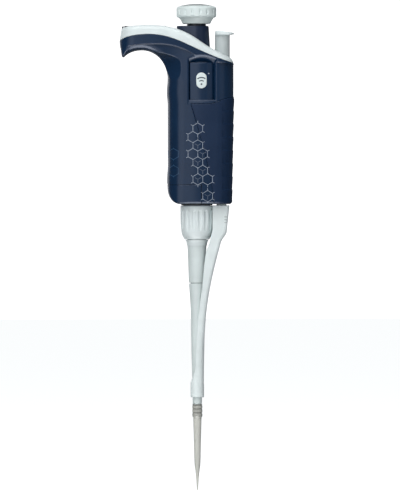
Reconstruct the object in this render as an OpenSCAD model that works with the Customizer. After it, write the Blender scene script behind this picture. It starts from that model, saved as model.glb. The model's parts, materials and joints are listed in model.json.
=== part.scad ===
// Hand-held electronic pipette with one channel, upright on its plunger axis.
// The origin is the centre of the disposable tip's outlet; +Z runs up the plunger axis, -X is the finger hook.
// Millimetres.

/* [Handle] */
// Distance from the plunger axis to the back of the handle
back_x = 17.6; // [17.2:0.1:18.4]
// Distance from the plunger axis to the front of the soft grip
front_x = 22.2; // [21.8:0.1:23]
// Width of the handle over both shells
handle_w = 30; // [29:0.5:32]
// Width of the finger hook, its flange and its cover
hook_w = 31; // [30:0.5:33]
// Corner radius of the handle in plan
corner_r = 10; // [8:0.5:12]
// Wall of the plastic shells
wall = 1.8; // [1.6:0.1:2]
// Thickness of the soft grip panel
grip_t = 1.2; // [1:0.1:1.4]

/* [Controls] */
// Radius of the plunger knob
knob_r = 11.75; // [11:0.25:12.5]
// Number of grip flutes round the knob and round the connecting nut
flutes = 16; // [12:2:20]
// Travel of the plunger knob when it is pressed
plunger_travel = 1; // [0.8:0.1:1]
// Distance from the plunger axis to the ejector button
ejector_x = 15.2; // [15:0.1:15.4]
// Radius of the ejector button's post
post_r = 4.4; // [4:0.1:4.4]

/* [Lower end] */
// Radius of the connecting nut
nut_r = 9.7; // [9.4:0.1:9.7]
// Radius of the piston
piston_r = 2.3; // [1.8:0.1:2.3]
// Stroke of the piston from full to empty
piston_stroke = 12; // [8:1:12]
// Length of the disposable tip
tip_len = 50.5; // [50:0.5:51]

/* [Hidden] */

$fn = 64;
eps = 0.01;
gap = 0.15;                  // clearance between pieces that slide past each other
run = 0.05;                  // radial clearance of a running fit

base_z = 168.2;              // the handle's bottom face
top_z = 273.6;               // the highest point of the cover
hook_x = 45.4;               // reach of the finger hook from the plunger axis
grip_top_z = 229;            // upper edge of the soft grip
cap_top_z = 179.4;           // seam of the cap at the lower back
cap_front_x = 2.8;
grip_step = 0.5;             // how far the grip stands proud of the shell above it
shell_inset = wall + grip_t;
knob_z = 274.2;              // underside of the knob
collar_top_z = 273;
collar_floor_z = 264.2;
stem_r = 5.6;
switch_top = 255.7;
spindle_r = 3;
spindle_top = 281;
nut_top_z = 167.3;
barrel_r = 5.75;            // at the barrel's upper end
seal_chamber_r = 3.2;
nut_low_z = 147.5;
barrel_low_z = 121.8;        // the seam between the barrel and the nose cone
nose_low_z = 44.2;
cone_r = 2.12;               // nose cone's radius at its lower end
cone_top_r = 2.48;           // its radius where the tip's mouth ends
eject_collar_z = [54.6, 62.6];
eject_collar_r = 3.97;
eject_bore_r = [2.92, 3.1];  // at the collar's lower and upper end
ejector_rod_r = 1.2;
guide_r = 2;
spring_wire = 0.35;
motor_z = [194, 222];
motor_screw_angles = [45, 135, 225, 315];
motor_screw_pitch_r = 7.6;
motor_r = 9.5;
rotor_r = 6;
bearing_z = [194.8, 219.1];
bearing_h = 2.1;
piston_low_z = 82;           // the piston's lower end at the top of its stroke
screw_r = 1.5;
screw_z = [153, 235];
window_x = [-4.4, 9.8];      // the recess in each side of the handle
window_z = [229.8, 251];
panel_r = 8;                 // the upright half-round panel in that recess
panel_x = 3.2;
badge_z = 240.8;
lens_x = [-35.8, -17.6];
lens_w = 19.2;
lens_z = [271.5, 272.9];
key_x = -41.05;              // centre of the middle key
key_back = 1.6;              // how much further back the outer keys sit
key_pitch = 7.4;
key_size = [5.7, 5.6];
key_r = 2.3;
key_z = [269.9, 272.8];
shell_screw_r = 1;
screw_spots = [[-12.4, 177.6], [-12.4, 231.5], [-32, 263.4], [10.2, 186]];
board_x = [17.45, 18.4];
board_z = [208, 238];
board_screw_spots = [[-6, 236], [6, 236]];

// Points along a cubic Bezier curve, without its last point.
function curve(a, b, c, d, n = 8) = [
    for (i = [0 : n - 1])
        let (t = i / n, s = 1 - t)
            s * s * s * a + 3 * s * s * t * b + 3 * s * t * t * c + t * t * t * d
];

// The seam between the cover and the shells, from the hook's end to the front.
seam_mid = [-27.5, 267.8];
seam_front = [front_x - grip_step, 250.8];
seam = concat(
    curve([-hook_x, 264.9], [-39, 267.3], [-33.5, seam_mid[1]], seam_mid),
    curve(seam_mid, [-10.5, seam_mid[1] - 0.2], [-2, 258], seam_front, 14),
    [seam_front]
);

// The cover's upper edge, from the front back to the hook's end.
crest_mid = [-27.5, top_z];
crest_drop = [4, 262.9];
crest = concat(
    curve([front_x - grip_step, 253.4], [16, 256.1], [9, 259.4], crest_drop),
    curve(crest_drop, [-5, 269.2], [-12, top_z - 0.2], crest_mid, 10),
    curve(crest_mid, [-35, top_z], [-42, 273], [-hook_x + 0.5, 271.2]),
    [[-hook_x + 0.5, 271.2]]
);

// The lower edge of the flange that carries the cover.
flange_edge = concat(
    curve([front_x - grip_step, 249.9], [14, 251.2], [3, 252.4], [-2, 256]),
    curve([-2, 256], [-8, 260], [-15, 262.2], [-24, 262.2]),
    curve([-24, 262.2], [-33, 262.2], [-40, 261], [-hook_x - 1, 259.4]),
    [[-hook_x - 1, 259.4]]
);

// The handle's outline seen from its side, below the seam.
front_foot = front_x - 1.9;
waist = 0.5;
handle_side = concat(
    seam,
    [
        [front_x - grip_step, grip_top_z + 0.8],
        [front_x, grip_top_z],
        [front_foot, base_z + 1]
    ],
    curve([front_foot, base_z + 1], [front_foot, base_z + 0.3], [front_foot - 0.4, base_z],
        [front_foot - 1, base_z], 4),
    curve([-9, base_z], [-14.4, base_z], [-back_x, 172.4], [-back_x, 180]),
    curve([-back_x, 180], [-back_x, 188], [waist - back_x, 186], [waist - back_x, 192], 4),
    curve([waist - back_x, 226], [waist - back_x, 230], [-back_x, 230], [-back_x, 234], 4),
    curve([-back_x, 234], [-back_x, 238], [waist - back_x, 238], [waist - back_x, 243], 4),
    curve([waist - back_x, 243], [waist - back_x - 0.9, 253], [-25, 258.9], [-32, 258.9], 12),
    curve([-32, 258.9], [-36.5, 258.9], [-40, 257.6], [-42.6, 255], 6),
    curve([-42.6, 255], [-43, 254.6], [-43.9, 254.7], [-44, 255.5], 3),
    [[-44, 255.5]]
);

// The side view of the soft grip: a slanted edge runs down and forward from its upper back corner.
grip_foot_x = 10.1;
grip_side = concat(
    [[-3.8, grip_top_z], [front_x + 5, grip_top_z], [front_x + 5, base_z - 5], [grip_foot_x, base_z - 5]],
    curve([grip_foot_x, base_z], [8.6, 187], [2, 209], [-3.7, grip_top_z - 0.4])
);

// ---- Helpers ----

// Extrudes a side view, drawn in X and Z, by w across the middle plane.
module across(w) {
    rotate([90, 0, 0]) linear_extrude(w, center = true) children();
}

// A rectangle from x0 to x1 and w wide, with true round corners.
module round_rect(x0, x1, w, r) {
    for (x = [x0 + r, x1 - r], y = [-1, 1])
        translate([x, y * (w / 2 - r)]) circle(r);
    translate([x0 + r, -w / 2]) square([x1 - x0 - 2 * r, w]);
    translate([x0, r - w / 2]) square([x1 - x0, w - 2 * r]);
}

module tube(r_out, r_in, z0, z1) {
    translate([0, 0, z0]) difference() {
        cylinder(r = r_out, h = z1 - z0);
        translate([0, 0, -eps]) cylinder(r = r_in, h = z1 - z0 + 2 * eps);
    }
}

module rod(r, z0, z1) {
    translate([0, 0, z0]) cylinder(r = r, h = z1 - z0);
}

// The plan of the handle or of the hook, set in by inset.
module handle_plan(inset = 0) {
    round_rect(inset - back_x, front_x - inset, handle_w - 2 * inset, corner_r - inset);
}

module hook_plan(inset = 0) {
    round_rect(inset - hook_x, front_x - inset, hook_w - 2 * inset, corner_r - 1 - inset);
}

// The whole dark handle as one solid, with its side view and plan set in.
module handle_solid(inset = 0) {
    root_z = 247;
    flange_proud = (hook_w - handle_w) / 2;
    intersection() {
        across(60) offset(delta = -inset) polygon(handle_side);
        union() {
            translate([0, 0, base_z - 5])
                linear_extrude(root_z - base_z + 5) handle_plan(inset);
            translate([0, 0, root_z - eps])
                linear_extrude(top_z - root_z) hook_plan(inset + flange_proud);
            intersection() {
                across(60) polygon(concat(flange_edge, [[-60, 300], [60, 300]]));
                translate([0, 0, 240]) linear_extrude(40) hook_plan(inset);
            }
        }
    }
}

// One coil spring as stacked rings joined by their own slope.
module coil_spring(mean_r, wire_r, z0, z1, turns) {
    steps = 14;
    sides = 8;
    count = turns * steps;
    rise = z1 - z0 - 2 * wire_r;
    function ring(i) = [
        for (j = [0 : sides - 1])
            let (a = 360 * i / steps, b = 360 * j / sides, r = mean_r + wire_r * cos(b))
                [r * cos(a), r * sin(a), z0 + wire_r + rise * i / count + wire_r * sin(b)]
    ];
    points = [for (i = [0 : count]) each ring(i)];
    skin = [
        for (i = [0 : count - 1], j = [0 : sides - 1])
            let (k = (j + 1) % sides, a = i * sides, b = a + sides)
                each [[a + j, b + j, b + k], [a + j, b + k, a + k]]
    ];
    first_end = [[for (j = [0 : sides - 1]) j]];
    last_end = [[for (j = [sides - 1 : -1 : 0]) count * sides + j]];
    polyhedron(points, concat(skin, first_end, last_end));
}

// Grip flutes: upright rods to cut from a round part.
module flute_cuts(r, cut_r, z0, z1) {
    for (i = [0 : flutes - 1])
        rotate(360 * i / flutes) translate([r, 0, z0]) cylinder(r = cut_r, h = z1 - z0, $fn = 24);
}

// ---- Handle ----

// What is cut from both handle shells.
module shell_cuts() {
    difference() {
        union() {
            handle_solid(shell_inset);
            translate([-41, -9.7, 261]) cube([27, 19.4, 12]);
        }
        for (s = screw_spots)
            translate([s[0], 0, s[1]]) rotate([90, 0, 0]) cylinder(r = 2.5, h = 60, center = true);
    }
    // Seat of the soft grip.
    difference() {
        across(60) intersection() {
            polygon(grip_side);
            offset(delta = 1) polygon(handle_side);
        }
        handle_solid(grip_t);
    }
    // Passages for the plunger rod, the ejector post, the spigot and the ejector arm's neck.
    rod(2.2, 240, 275);
    translate([ejector_x, 0]) rod(post_r + 0.3, 238, 275);
    rod(8.2, base_z - 5, base_z + 6);
    translate([11.3, -4.4, base_z - 5]) cube([6.4, 8.8, 12]);
    // Recess for the half-round panel on each side.
    for (y = [-1, 1])
        translate([window_x[0], y * 14 - 5, window_z[0]])
            cube([window_x[1] - window_x[0], 10, window_z[1] - window_z[0]]);
    // Mouth of the charging socket.
    translate([17.5, -4.1, 231.9]) cube([10, 8.2, 3.8]);
    // Holes for the shell screws, with counterbores on the far side.
    for (s = screw_spots)
        translate([s[0], 0, s[1]]) rotate([-90, 0, 0]) {
            translate([0, 0, -8.2]) cylinder(r = shell_screw_r + run, h = 30, $fn = 32);
            translate([0, 0, 8]) cylinder(r = 2.1, h = 20, $fn = 32);
        }
    // Pilot holes for the board's screws.
    for (s = board_screw_spots)
        translate([board_x[0], s[0], s[1]]) rotate([0, 90, 0]) cylinder(r = 0.8 + run, h = 2.6, $fn = 32);
}

// The hollow on each side where the hook grows out of the handle.
module finger_scoops() {
    ball = 14;
    depth = 2;
    for (y = [-1, 1])
        translate([-16.8, y * (handle_w / 2 - depth + ball), 249.3]) sphere(ball);
}

module half_space(side) {
    translate([-100, side < 0 ? -60 : 0, 100]) cube([200, 60, 200]);
}

module handle_shell(side) {
    color([0.10, 0.15, 0.25]) difference() {
        intersection() {
            handle_solid();
            half_space(side);
        }
        shell_cuts();
        lower_cap_space();
        finger_scoops();
    }
}

module lower_cap_space() {
    translate([-60, -50, 100]) cube([60 + cap_front_x, 100, cap_top_z - 100]);
}

// The cap that wraps round the lower back of both shells.
module lower_cap() {
    color([0.10, 0.15, 0.25]) difference() {
        intersection() {
            handle_solid();
            lower_cap_space();
        }
        shell_cuts();
    }
}

module grip_panel() {
    ribs = 7;
    rib_pitch = 7.1;
    color([0.07, 0.12, 0.2]) difference() {
        intersection() {
            handle_solid();
            across(60) polygon(grip_side);
        }
        handle_solid(grip_t);
        for (i = [0 : ribs - 1])
            translate([11, -30, grip_top_z - 8 - i * rib_pitch]) cube([20, 30 - handle_w / 2 + 0.4, 0.8]);
        for (i = [0 : ribs - 1])
            translate([11, handle_w / 2 - 0.4, grip_top_z - 8 - i * rib_pitch]) cube([20, 30, 0.8]);
        rod(8.2, base_z - 5, base_z + 6);
        translate([9.6, -10, base_z - 5]) cube([9, 20, 7]);
    }
}

// The pale cover over the hook and the shoulder, hollow and open below.
module top_cover() {
    cover_side = concat(seam, crest);
    module solid(inset, drop) {
        intersection() {
            across(60) translate([0, -drop]) offset(delta = -inset) polygon(cover_side);
            translate([0, 0, 240]) linear_extrude(40) hook_plan(inset);
        }
    }
    color([0.86, 0.9, 0.9]) difference() {
        solid(0, 0);
        intersection() {
            across(60) difference() {
                polygon(concat(seam, [[30, 200], [30, 300], [-60, 300], [-60, 200]]));
                offset(delta = wall) polygon(concat(crest, [[-80, 271], [-80, 300], [40, 300], [40, 253]]));
            }
            translate([0, 0, 240]) linear_extrude(40) hook_plan(wall);
            solid(0, 0);
        }
        collar_body(gap);
        translate([ejector_x, 0]) rod(post_r + 0.3, 240, 275);
        lens_solid(262, 280, 0.1);
        for (i = [-1 : 1]) {
            key_solid(i, gap, 262, 280);
            key_solid(i, 0.6, 262, 270.6);
        }
    }
}

// The dark raised collar that guides the plunger, drawn out towards the hook.
module collar_body(grow = 0) {
    hull() {
        translate([0, 0, 255]) cylinder(r = 8.3 + grow, h = 1);
        translate([0, 0, collar_top_z - 1 + (grow > 0 ? 1 : 0)])
            cylinder(r = 7.2 + grow, h = 1);
        translate([-6.4, 0, collar_top_z - 1 + (grow > 0 ? 1 : 0)])
            cylinder(r = 5.4 + grow, h = 1);
    }
}

module plunger_collar() {
    color([0.13, 0.18, 0.28]) difference() {
        collar_body();
        across(60) polygon(concat(seam, [[front_x, 200], [-hook_x, 200]]));
        rod(stem_r + gap, collar_floor_z, 280);
        rod(1.8, 240, 280);
    }
}

// The recessed half-round panel on one side.
module side_panel(side) {
    fit = 0.1;
    crest_y = handle_w / 2 - 0.6;
    color([0.12, 0.17, 0.27]) intersection() {
        translate([panel_x, side * (crest_y - panel_r), window_z[0] + fit])
            difference() {
                cylinder(r = panel_r, h = window_z[1] - window_z[0] - 2 * fit);
                translate([0, 0, -eps]) cylinder(r = panel_r - 1.6, h = 60);
            }
        translate([window_x[0] + fit, side < 0 ? -20 : 9.2, 200])
            cube([window_x[1] - window_x[0] - 2 * fit, 10.8, 80]);
    }
}

// A blank rounded badge on the near panel.
module wireless_badge() {
    r = 3.05;
    color([0.85, 0.88, 0.9]) intersection() {
        translate([panel_x, panel_r + 0.6 - handle_w / 2, badge_z - 8])
            tube(panel_r + 0.25, panel_r + 0.02, 0, 16);
        translate([panel_x - 0.3, -12, badge_z]) rotate([90, 0, 0]) linear_extrude(6) {
            for (z = [-1, 1]) translate([0, z * 1.6]) circle(r);
            square([2 * r, 3.2], center = true);
        }
    }
}

// ---- Display and keys ----

module lens_solid(z0, z1, grow = 0) {
    translate([0, 0, z0]) linear_extrude(z1 - z0)
        round_rect(lens_x[0] - grow, lens_x[1] + grow, lens_w + 2 * grow, 2 + grow);
}

module display_lens() {
    color([0.05, 0.06, 0.07]) lens_solid(lens_z[0], lens_z[1]);
}

module display_module() {
    color([0.2, 0.24, 0.22]) difference() {
        translate([-35.4, -9, 268.9]) cube([17.4, 18, 2.5]);
        translate([-33.9, -7.4, 270.9]) cube([14.4, 14.8, 2]);
    }
}

// The outline of one key, from the left key at -1 to the right key at 1.
module key_solid(i, grow, z0, z1) {
    w = key_size + [2, 2] * grow;
    translate([key_x + key_back * abs(i), i * key_pitch, z0])
        linear_extrude(z1 - z0) round_rect(-w[0] / 2, w[0] / 2, w[1], key_r + grow);
}

module key_mat() {
    color([0.25, 0.25, 0.27]) translate([0, 0, 268.9]) linear_extrude(0.4) intersection() {
        hook_plan(wall + 0.2);
        translate([-hook_x, -11]) square([8.8, 22]);
    }
}

module key(i) {
    color([0.3, 0.33, 0.36]) {
        key_solid(i, 0, key_z[0], key_z[1]);
        key_solid(i, 0.4, key_z[0], key_z[0] + 0.5);
    }
}

module control_board() {
    color([0.1, 0.35, 0.2]) {
        translate([-40, -9.4, 266.3]) cube([25, 18.8, 1.1]);
        translate([-30, -6, 267.4 - eps]) cube([8, 8, 1]);
    }
}

// ---- Electronics ----

// The upright board in front of the motor, with its chips on the inner face.
module main_board() {
    chips = [[-6.6, 210, 4, 7], [2.6, 211, 4, 8], [-6.6, 226, 4, 4]];
    color([0.1, 0.35, 0.2]) difference() {
        union() {
            translate([board_x[0], -7.5, board_z[0]])
                cube([board_x[1] - board_x[0], 15, board_z[1] - board_z[0]]);
            for (c = chips)
                translate([board_x[0] - 0.6, c[0], c[1]]) cube([0.6 + eps, c[2], c[3]]);
        }
        for (s = board_screw_spots)
            translate([16, s[0], s[1]]) rotate([0, 90, 0]) cylinder(r = 0.8 + run, h = 4, $fn = 32);
    }
}

module board_screws() {
    color("silver") for (s = board_screw_spots)
        translate([board_x[0], s[0], s[1]]) rotate([0, 90, 0]) {
            cylinder(r = 0.8, h = 1.5, $fn = 32);
            translate([0, 0, -0.6]) cylinder(r = 1.3, h = 0.6, $fn = 32);
        }
}

// The radio board with its shield can, just behind the badge.
module wireless_module() {
    color([0.12, 0.25, 0.4]) {
        translate([-3.4, -8.4, 233]) cube([12, 0.9, 14]);
        translate([-1.8, -7.5 - eps, 235]) cube([8.8, 1.4, 8]);
    }
}

module battery() {
    color([0.75, 0.76, 0.78]) translate([-13.7, -7, 186]) cube([4, 14, 34]);
}

module charging_socket() {
    color("silver") difference() {
        translate([board_x[1] + eps, -3.9, 232.1]) cube([2.9, 7.8, 3.4]);
        translate([19.2, -3.4, 232.6]) cube([5, 6.8, 2.4]);
    }
}

// ---- Plunger ----

// The fluted knob: a domed disc over a waisted skirt.
module plunger_knob() {
    rim = [278.4, 283.8];
    skirt_r = 7.55;
    color([0.83, 0.87, 0.87]) difference() {
        rotate_extrude() polygon(concat(
            [[0, knob_z], [skirt_r - 0.6, knob_z], [skirt_r, knob_z + 0.5]],
            curve([skirt_r, knob_z + 0.5], [8.2, 276.4], [9, 277.6], [knob_r - 0.6, 278.1], 6),
            curve([knob_r - 0.6, 278.1], [knob_r, 278.2], [knob_r, rim[0]], [knob_r, 279], 3),
            [[knob_r, rim[1] - 0.9]],
            curve([knob_r, rim[1] - 0.9], [knob_r, rim[1]], [knob_r - 0.6, 284.2], [9.9, 284.7], 5),
            [[9.9, 284.7], [0, 284.7]]
        ));
        flute_cuts(knob_r + 0.85, 1.25, rim[0] + 0.7, rim[1] - 1);
        rod(9.6, 284, 290);
        rod(spindle_r + run, knob_z - 1, 285);
        rod(4.2, 280.9, 285);
    }
}

// The domed cap; its crown is an arc of a large circle.
module knob_cap() {
    foot = 284.05;
    edge = 284.8;
    crown = 286;
    r = 9.5;
    sag = crown - edge;
    ball = (r * r + sag * sag) / (2 * sag);
    half_angle = asin(r / ball);
    color([0.72, 0.76, 0.76]) rotate_extrude() polygon(concat(
        [[0, foot], [r, foot]],
        [for (i = [10 : -1 : 0])
            let (a = half_angle * i / 10)
                [ball * sin(a), crown - ball + ball * cos(a)]]
    ));
}

// The screw whose wide head keeps the knob on its spindle and lets it turn.
module knob_screw() {
    color("silver") {
        rod(1, 276, spindle_top);
        difference() {
            rod(3.9, spindle_top, spindle_top + 1.4);
            for (a = [0, 90])
                rotate(a) translate([-1.6, -0.25, spindle_top + 0.9]) cube([3.2, 0.5, 1]);
        }
    }
}

module plunger_stem() {
    color([0.1, 0.12, 0.15]) difference() {
        union() {
            rod(stem_r, 266.5, knob_z);
            rod(spindle_r, knob_z - eps, spindle_top);
            rod(1.2, switch_top + plunger_travel + run, 268);
        }
        tube(4.6, 2, 260, 271.5);
        rod(1 + 0.02, 276, 290);
    }
}

module plunger_spring() {
    color("silver") coil_spring(3.3, spring_wire, collar_floor_z + 0.05, 271.4, 4);
}

module plunger_switch() {
    color([0.2, 0.2, 0.22]) {
        translate([-3.5, -3.5, switch_top - 4.15]) cube([7, 7, 1]);
        translate([-2.5, -2.5, switch_top - 3.2]) cube([5, 5, 2.2]);
        rod(0.9, switch_top - 1.1, switch_top);
    }
}

module switch_board() {
    color([0.1, 0.35, 0.2]) translate([-8, -8.6, switch_top - 5.3]) cube([16, 17.2, 1.1]);
}

// ---- Ejector ----

// A round post under a thumb plate that reaches forward.
module ejector_button() {
    plate_side = concat(
        [[10.8, 267.6], [19.6, 267.6]],
        curve([19.6, 267.6], [20.2, 268], [21.2, 268], [22.1, 268], 4),
        [[22.1, 268], [22.1, 268.7]],
        curve([22.1, 268.7], [19, 269.4], [15.6, 270.1], [11.4, 270]),
        [[11.4, 270], [10.8, 269.4]]
    );
    color([0.8, 0.83, 0.83]) difference() {
        union() {
            translate([ejector_x, 0]) rod(post_r, 250, 267.7);
            intersection() {
                across(30) polygon(plate_side);
                translate([0, 0, 260]) linear_extrude(20) round_rect(10.8, 22.2, 13, 4.2);
            }
        }
        translate([ejector_x, 0]) rod(ejector_rod_r, 240, 262);
    }
}

module ejector_rod() {
    color("silver") translate([ejector_x, 0]) rod(ejector_rod_r, 177, 262);
}

module ejector_guide() {
    color([0.3, 0.3, 0.32]) translate([ejector_x, 0]) tube(guide_r, ejector_rod_r + run, 220.6, 228);
}

module ejector_spring() {
    color("silver") translate([ejector_x, 0]) coil_spring(1.8, 0.3, 228.1, 249.9, 9);
}

// What the ejector arm has to stay clear of: the nut, its ring, the barrel and the nose.
module arm_clearance() {
    rod(nut_r + 0.35, 144.8, 200);
    rod(7.2, 139, 148);
    rotate_extrude() polygon([
        [0, 40], [3.1, 40], [3.1, 62.6], [3.25, 66], [3.6, 75], [3.85, 95], [4.1, 106], [5.4, 117],
        [5.5, 122], [6.3, 148], [0, 148]
    ]);
}

// The arm seen from its side: a box at the top that narrows and curves in to the collar.
module ejector_arm() {
    back_edge = concat(
        [[18.9, 167.4], [17.4, 151.6]],
        curve([17.4, 151.6], [16.8, 149], [14.9, 148], [14.2, 145.6], 4),
        curve([14.2, 145.6], [10.6, 132], [4.6, 112], [4.3, 84]),
        curve([4.3, 84], [4.1, 76], [3.97, 70], [3.97, 63], 4),
        [[3.97, eject_collar_z[0]]]
    );
    open_edge = concat(
        curve([-3.97, eject_collar_z[1]], [-3.6, 65], [-1.2, 68], [-0.9, 74]),
        curve([-0.9, 74], [-0.6, 88], [0.4, 104], [3, 119]),
        curve([3, 119], [4.8, 130], [6.6, 142], [8.1, 147.5]),
        [[8.1, 147.5], [9.9, 160], [9.9, 167.4]]
    );
    half_w = [[7.4, 167.4], [7.4, 150], [6.6, 122], [4.9, 104], [4.2, 80], [3.97, 64]];
    t = 1.2;
    module collar() {
        rotate_extrude() polygon([
            [eject_bore_r[0], eject_collar_z[0]], [eject_collar_r, eject_collar_z[0]],
            [eject_collar_r, eject_collar_z[1]], [eject_bore_r[1], eject_collar_z[1]]
        ]);
    }
    module front_view(inset) {
        rotate([90, 0, 90]) linear_extrude(60, center = true) polygon(concat(
            [for (p = half_w) [p[0] - inset, p[1]]],
            [[3.97 - inset, 50], [inset - 3.97, 50]],
            [for (i = [len(half_w) - 1 : -1 : 0]) [inset - half_w[i][0], half_w[i][1]]]
        ));
    }
    color([0.84, 0.88, 0.89]) {
        difference() {
            union() {
                intersection() {
                    across(30) polygon(concat(back_edge, open_edge));
                    front_view(0);
                }
                // The neck that takes the ejector rod.
                translate([11.6, -4, 160]) cube([5.8, 8, 20]);
            }
            arm_clearance();
            // The hollow of the channel, open towards the barrel.
            intersection() {
                across(30) translate([-t, 0]) polygon(concat(back_edge, [for (p = open_edge) p - [12, 0]]));
                front_view(t);
                translate([-30, -30, 66]) cube([60, 60, 84]);
            }
            translate([ejector_x, 0]) rod(ejector_rod_r, 177, 190);
        }
        collar();
    }
}

// ---- Drive ----

module drive_motor() {
    color([0.7, 0.7, 0.72]) difference() {
        rod(motor_r, motor_z[0], motor_z[1]);
        rod(rotor_r + 0.3, 197.1, 218.9);
        for (z = bearing_z) rod(4.4, z - gap, z + bearing_h + gap);
        rod(3, 190, 230);
        for (a = motor_screw_angles)
            rotate(a) translate([motor_screw_pitch_r, 0]) rod(0.8 + run, 190, 196.1);
    }
}

module motor_bearings() {
    color("silver") for (z = bearing_z) tube(4.35, 2.5, z, z + bearing_h);
}

module motor_rotor() {
    color([0.45, 0.42, 0.4]) difference() {
        union() {
            rod(rotor_r, 197.3, 218.7);
            rod(2.5 - run, 194.6, 221.4);
        }
        rod(screw_r + run, 190, 230);
    }
}

// Plates above and below the motor, joined by two side straps.
module motor_bracket() {
    color([0.3, 0.32, 0.35]) difference() {
        union() {
            translate([0, 0, 192.2]) linear_extrude(1.8) round_rect(-motor_r, motor_r, 23, 3);
            translate([0, 0, 222]) linear_extrude(1.2) round_rect(-motor_r, motor_r, 23, 3);
            translate([6, -8, 222]) cube([11.2, 16, 1.2]);
            for (y = [-11.5, 10.3]) translate([-6, y, 173.3]) cube([12, 1.2, 49.5]);
        }
        rod(3.4, 180, 230);
        translate([ejector_x, 0]) rod(guide_r + 0.02, 200, 230);
        for (a = motor_screw_angles)
            rotate(a) translate([motor_screw_pitch_r, 0]) rod(0.8 + run, 190, 196);
    }
}

module motor_screws() {
    color("silver") for (a = motor_screw_angles)
        rotate(a) translate([motor_screw_pitch_r, 0]) {
            rod(0.8, 192.1, 196);
            rod(1.3, 191.5, 192.15);
        }
}

module drive_screw() {
    color("silver") {
        rod(screw_r, screw_z[0], screw_z[1]);
        rod(3.5, 150, screw_z[0] + eps);
    }
}

// ---- Lower end ----

module threaded_spigot() {
    color([0.15, 0.16, 0.18]) difference() {
        union() {
            rod(8, 154.7, 172);
            rod(10.8, 171.3, 173.2);
        }
        rod(4.3, 150, 180);
        translate([10, -20, 160]) cube([20, 40, 20]);
    }
}

module spigot_gasket() {
    color([0.03, 0.03, 0.04]) tube(9.2, 8.01, 167.45, 168.1);
}

module connecting_nut() {
    color([0.86, 0.9, 0.91]) difference() {
        rotate_extrude() polygon(concat(
            [[6.1, nut_low_z], [6.9, nut_low_z]],
            curve([6.9, nut_low_z], [8.4, 149], [8.9, 150.4], [9.2, 152.6], 5),
            curve([9.2, 152.6], [9.6, 155.5], [nut_r, 157], [nut_r, 160], 4),
            [[nut_r, nut_top_z - 0.5], [nut_r - 0.4, nut_top_z], [8.15, nut_top_z], [8.15, 151.4], [6.1, 151.4]]
        ));
        flute_cuts(nut_r + 1, 1.5, 153.4, 165.2);
    }
}

// The flared ring under the nut, which rides down the barrel with it.
module nut_ring() {
    color([0.82, 0.86, 0.87]) rotate_extrude() polygon(concat(
        [[barrel_r + 0.1, 143.8]],
        curve([6.05, 143.8], [6.1, 145.4], [6.4, 146.4], [6.9, 147.4], 5),
        [[6.9, 147.4], [barrel_r + 0.1, 147.4]]
    ));
}

module barrel() {
    color([0.82, 0.86, 0.87]) difference() {
        rotate_extrude() polygon([
            [0, barrel_low_z + 0.2], [4.6, barrel_low_z + 0.2], [4.8, barrel_low_z + 0.5],
            [barrel_r, 147], [barrel_r, 151.6], [7.6, 151.6], [7.6, 154.5], [0, 154.5]
        ]);
        rod(3.95, 120, 160);
    }
}

module nose_cone() {
    color([0.83, 0.87, 0.87]) difference() {
        union() {
            rotate_extrude() polygon(concat(
                [[0, nose_low_z], [cone_r, nose_low_z], [cone_top_r, tip_len + 0.3]],
                [[2.72, tip_len + 0.5], [2.78, 54], [2.95, 66], [3.3, 78], [3.65, 100]],
                curve([3.65, 100], [3.8, 110], [4.4, 114], [5, 120.6], 6),
                [[5, 120.6], [4.8, barrel_low_z], [0, barrel_low_z]]
            ));
            rod(3.85, 120, 125.4);
        }
        rod(0.9, 40, 72);
        rod(piston_r + 0.15, piston_low_z - piston_stroke - 0.5, 130);
        rod(seal_chamber_r, 115, 130);
    }
}

module piston() {
    color("silver") rod(piston_r, piston_low_z, 147);
}

module piston_cap() {
    color([0.8, 0.75, 0.6]) tube(3.7, piston_r, 145.4, 149.9);
}

module piston_spring() {
    color("silver") coil_spring(3, 0.3, 127.1, 145.3, 7);
}

module piston_seal() {
    color([0.92, 0.92, 0.9]) tube(seal_chamber_r - 0.02, piston_r + 0.03, 115.05, 118);
}

module seal_o_ring() {
    color([0.1, 0.1, 0.1]) translate([0, 0, 118.5]) rotate_extrude()
        translate([(piston_r + seal_chamber_r) / 2, 0])
            circle((seal_chamber_r - piston_r) / 2 - 0.03, $fn = 32);
}

// The flanged sleeve that holds the seals down in the nose cone.
module seal_retainer() {
    color([0.6, 0.6, 0.62]) {
        tube(seal_chamber_r - 0.05, piston_r + 0.15, 119.1, 125.6);
        tube(3.8, piston_r + 0.15, 125.5, 127);
    }
}

// The disposable tip, open at both ends, with three rings round its mouth.
module pipette_tip() {
    mouth_r = 3;
    outline = [
        [0.42, 0], [0.8, 7.6], [1.5, 13.2], [1.85, 16.5], [2.1, 30], [2.45, 41.5], [2.55, 43], [2.9, 43.6]
    ];
    color([0.85, 0.85, 0.8, 0.6]) difference() {
        rotate_extrude() polygon(concat(
            [[0, 0]],
            outline,
            [for (i = [0 : 2]) each [
                [mouth_r, 43.8 + 2.2 * i], [mouth_r, 45.4 + 2.2 * i],
                [mouth_r - 0.2, 45.6 + 2.2 * i], [mouth_r - 0.2, 45.8 + 2.2 * i]
            ]],
            [[mouth_r, tip_len - 0.3], [mouth_r, tip_len], [0, tip_len]]
        ));
        rotate_extrude() polygon([
            [0, -1], [0.22, -1], [0.22, 0.5], [0.45, 7.6], [1.1, 14], [1.3, 17], [1.6, 30], [2, 43],
            [2.2, 44.1], [2.57, tip_len + eps], [0, tip_len + eps]
        ]);
    }
}

// ---- Fasteners ----

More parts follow.
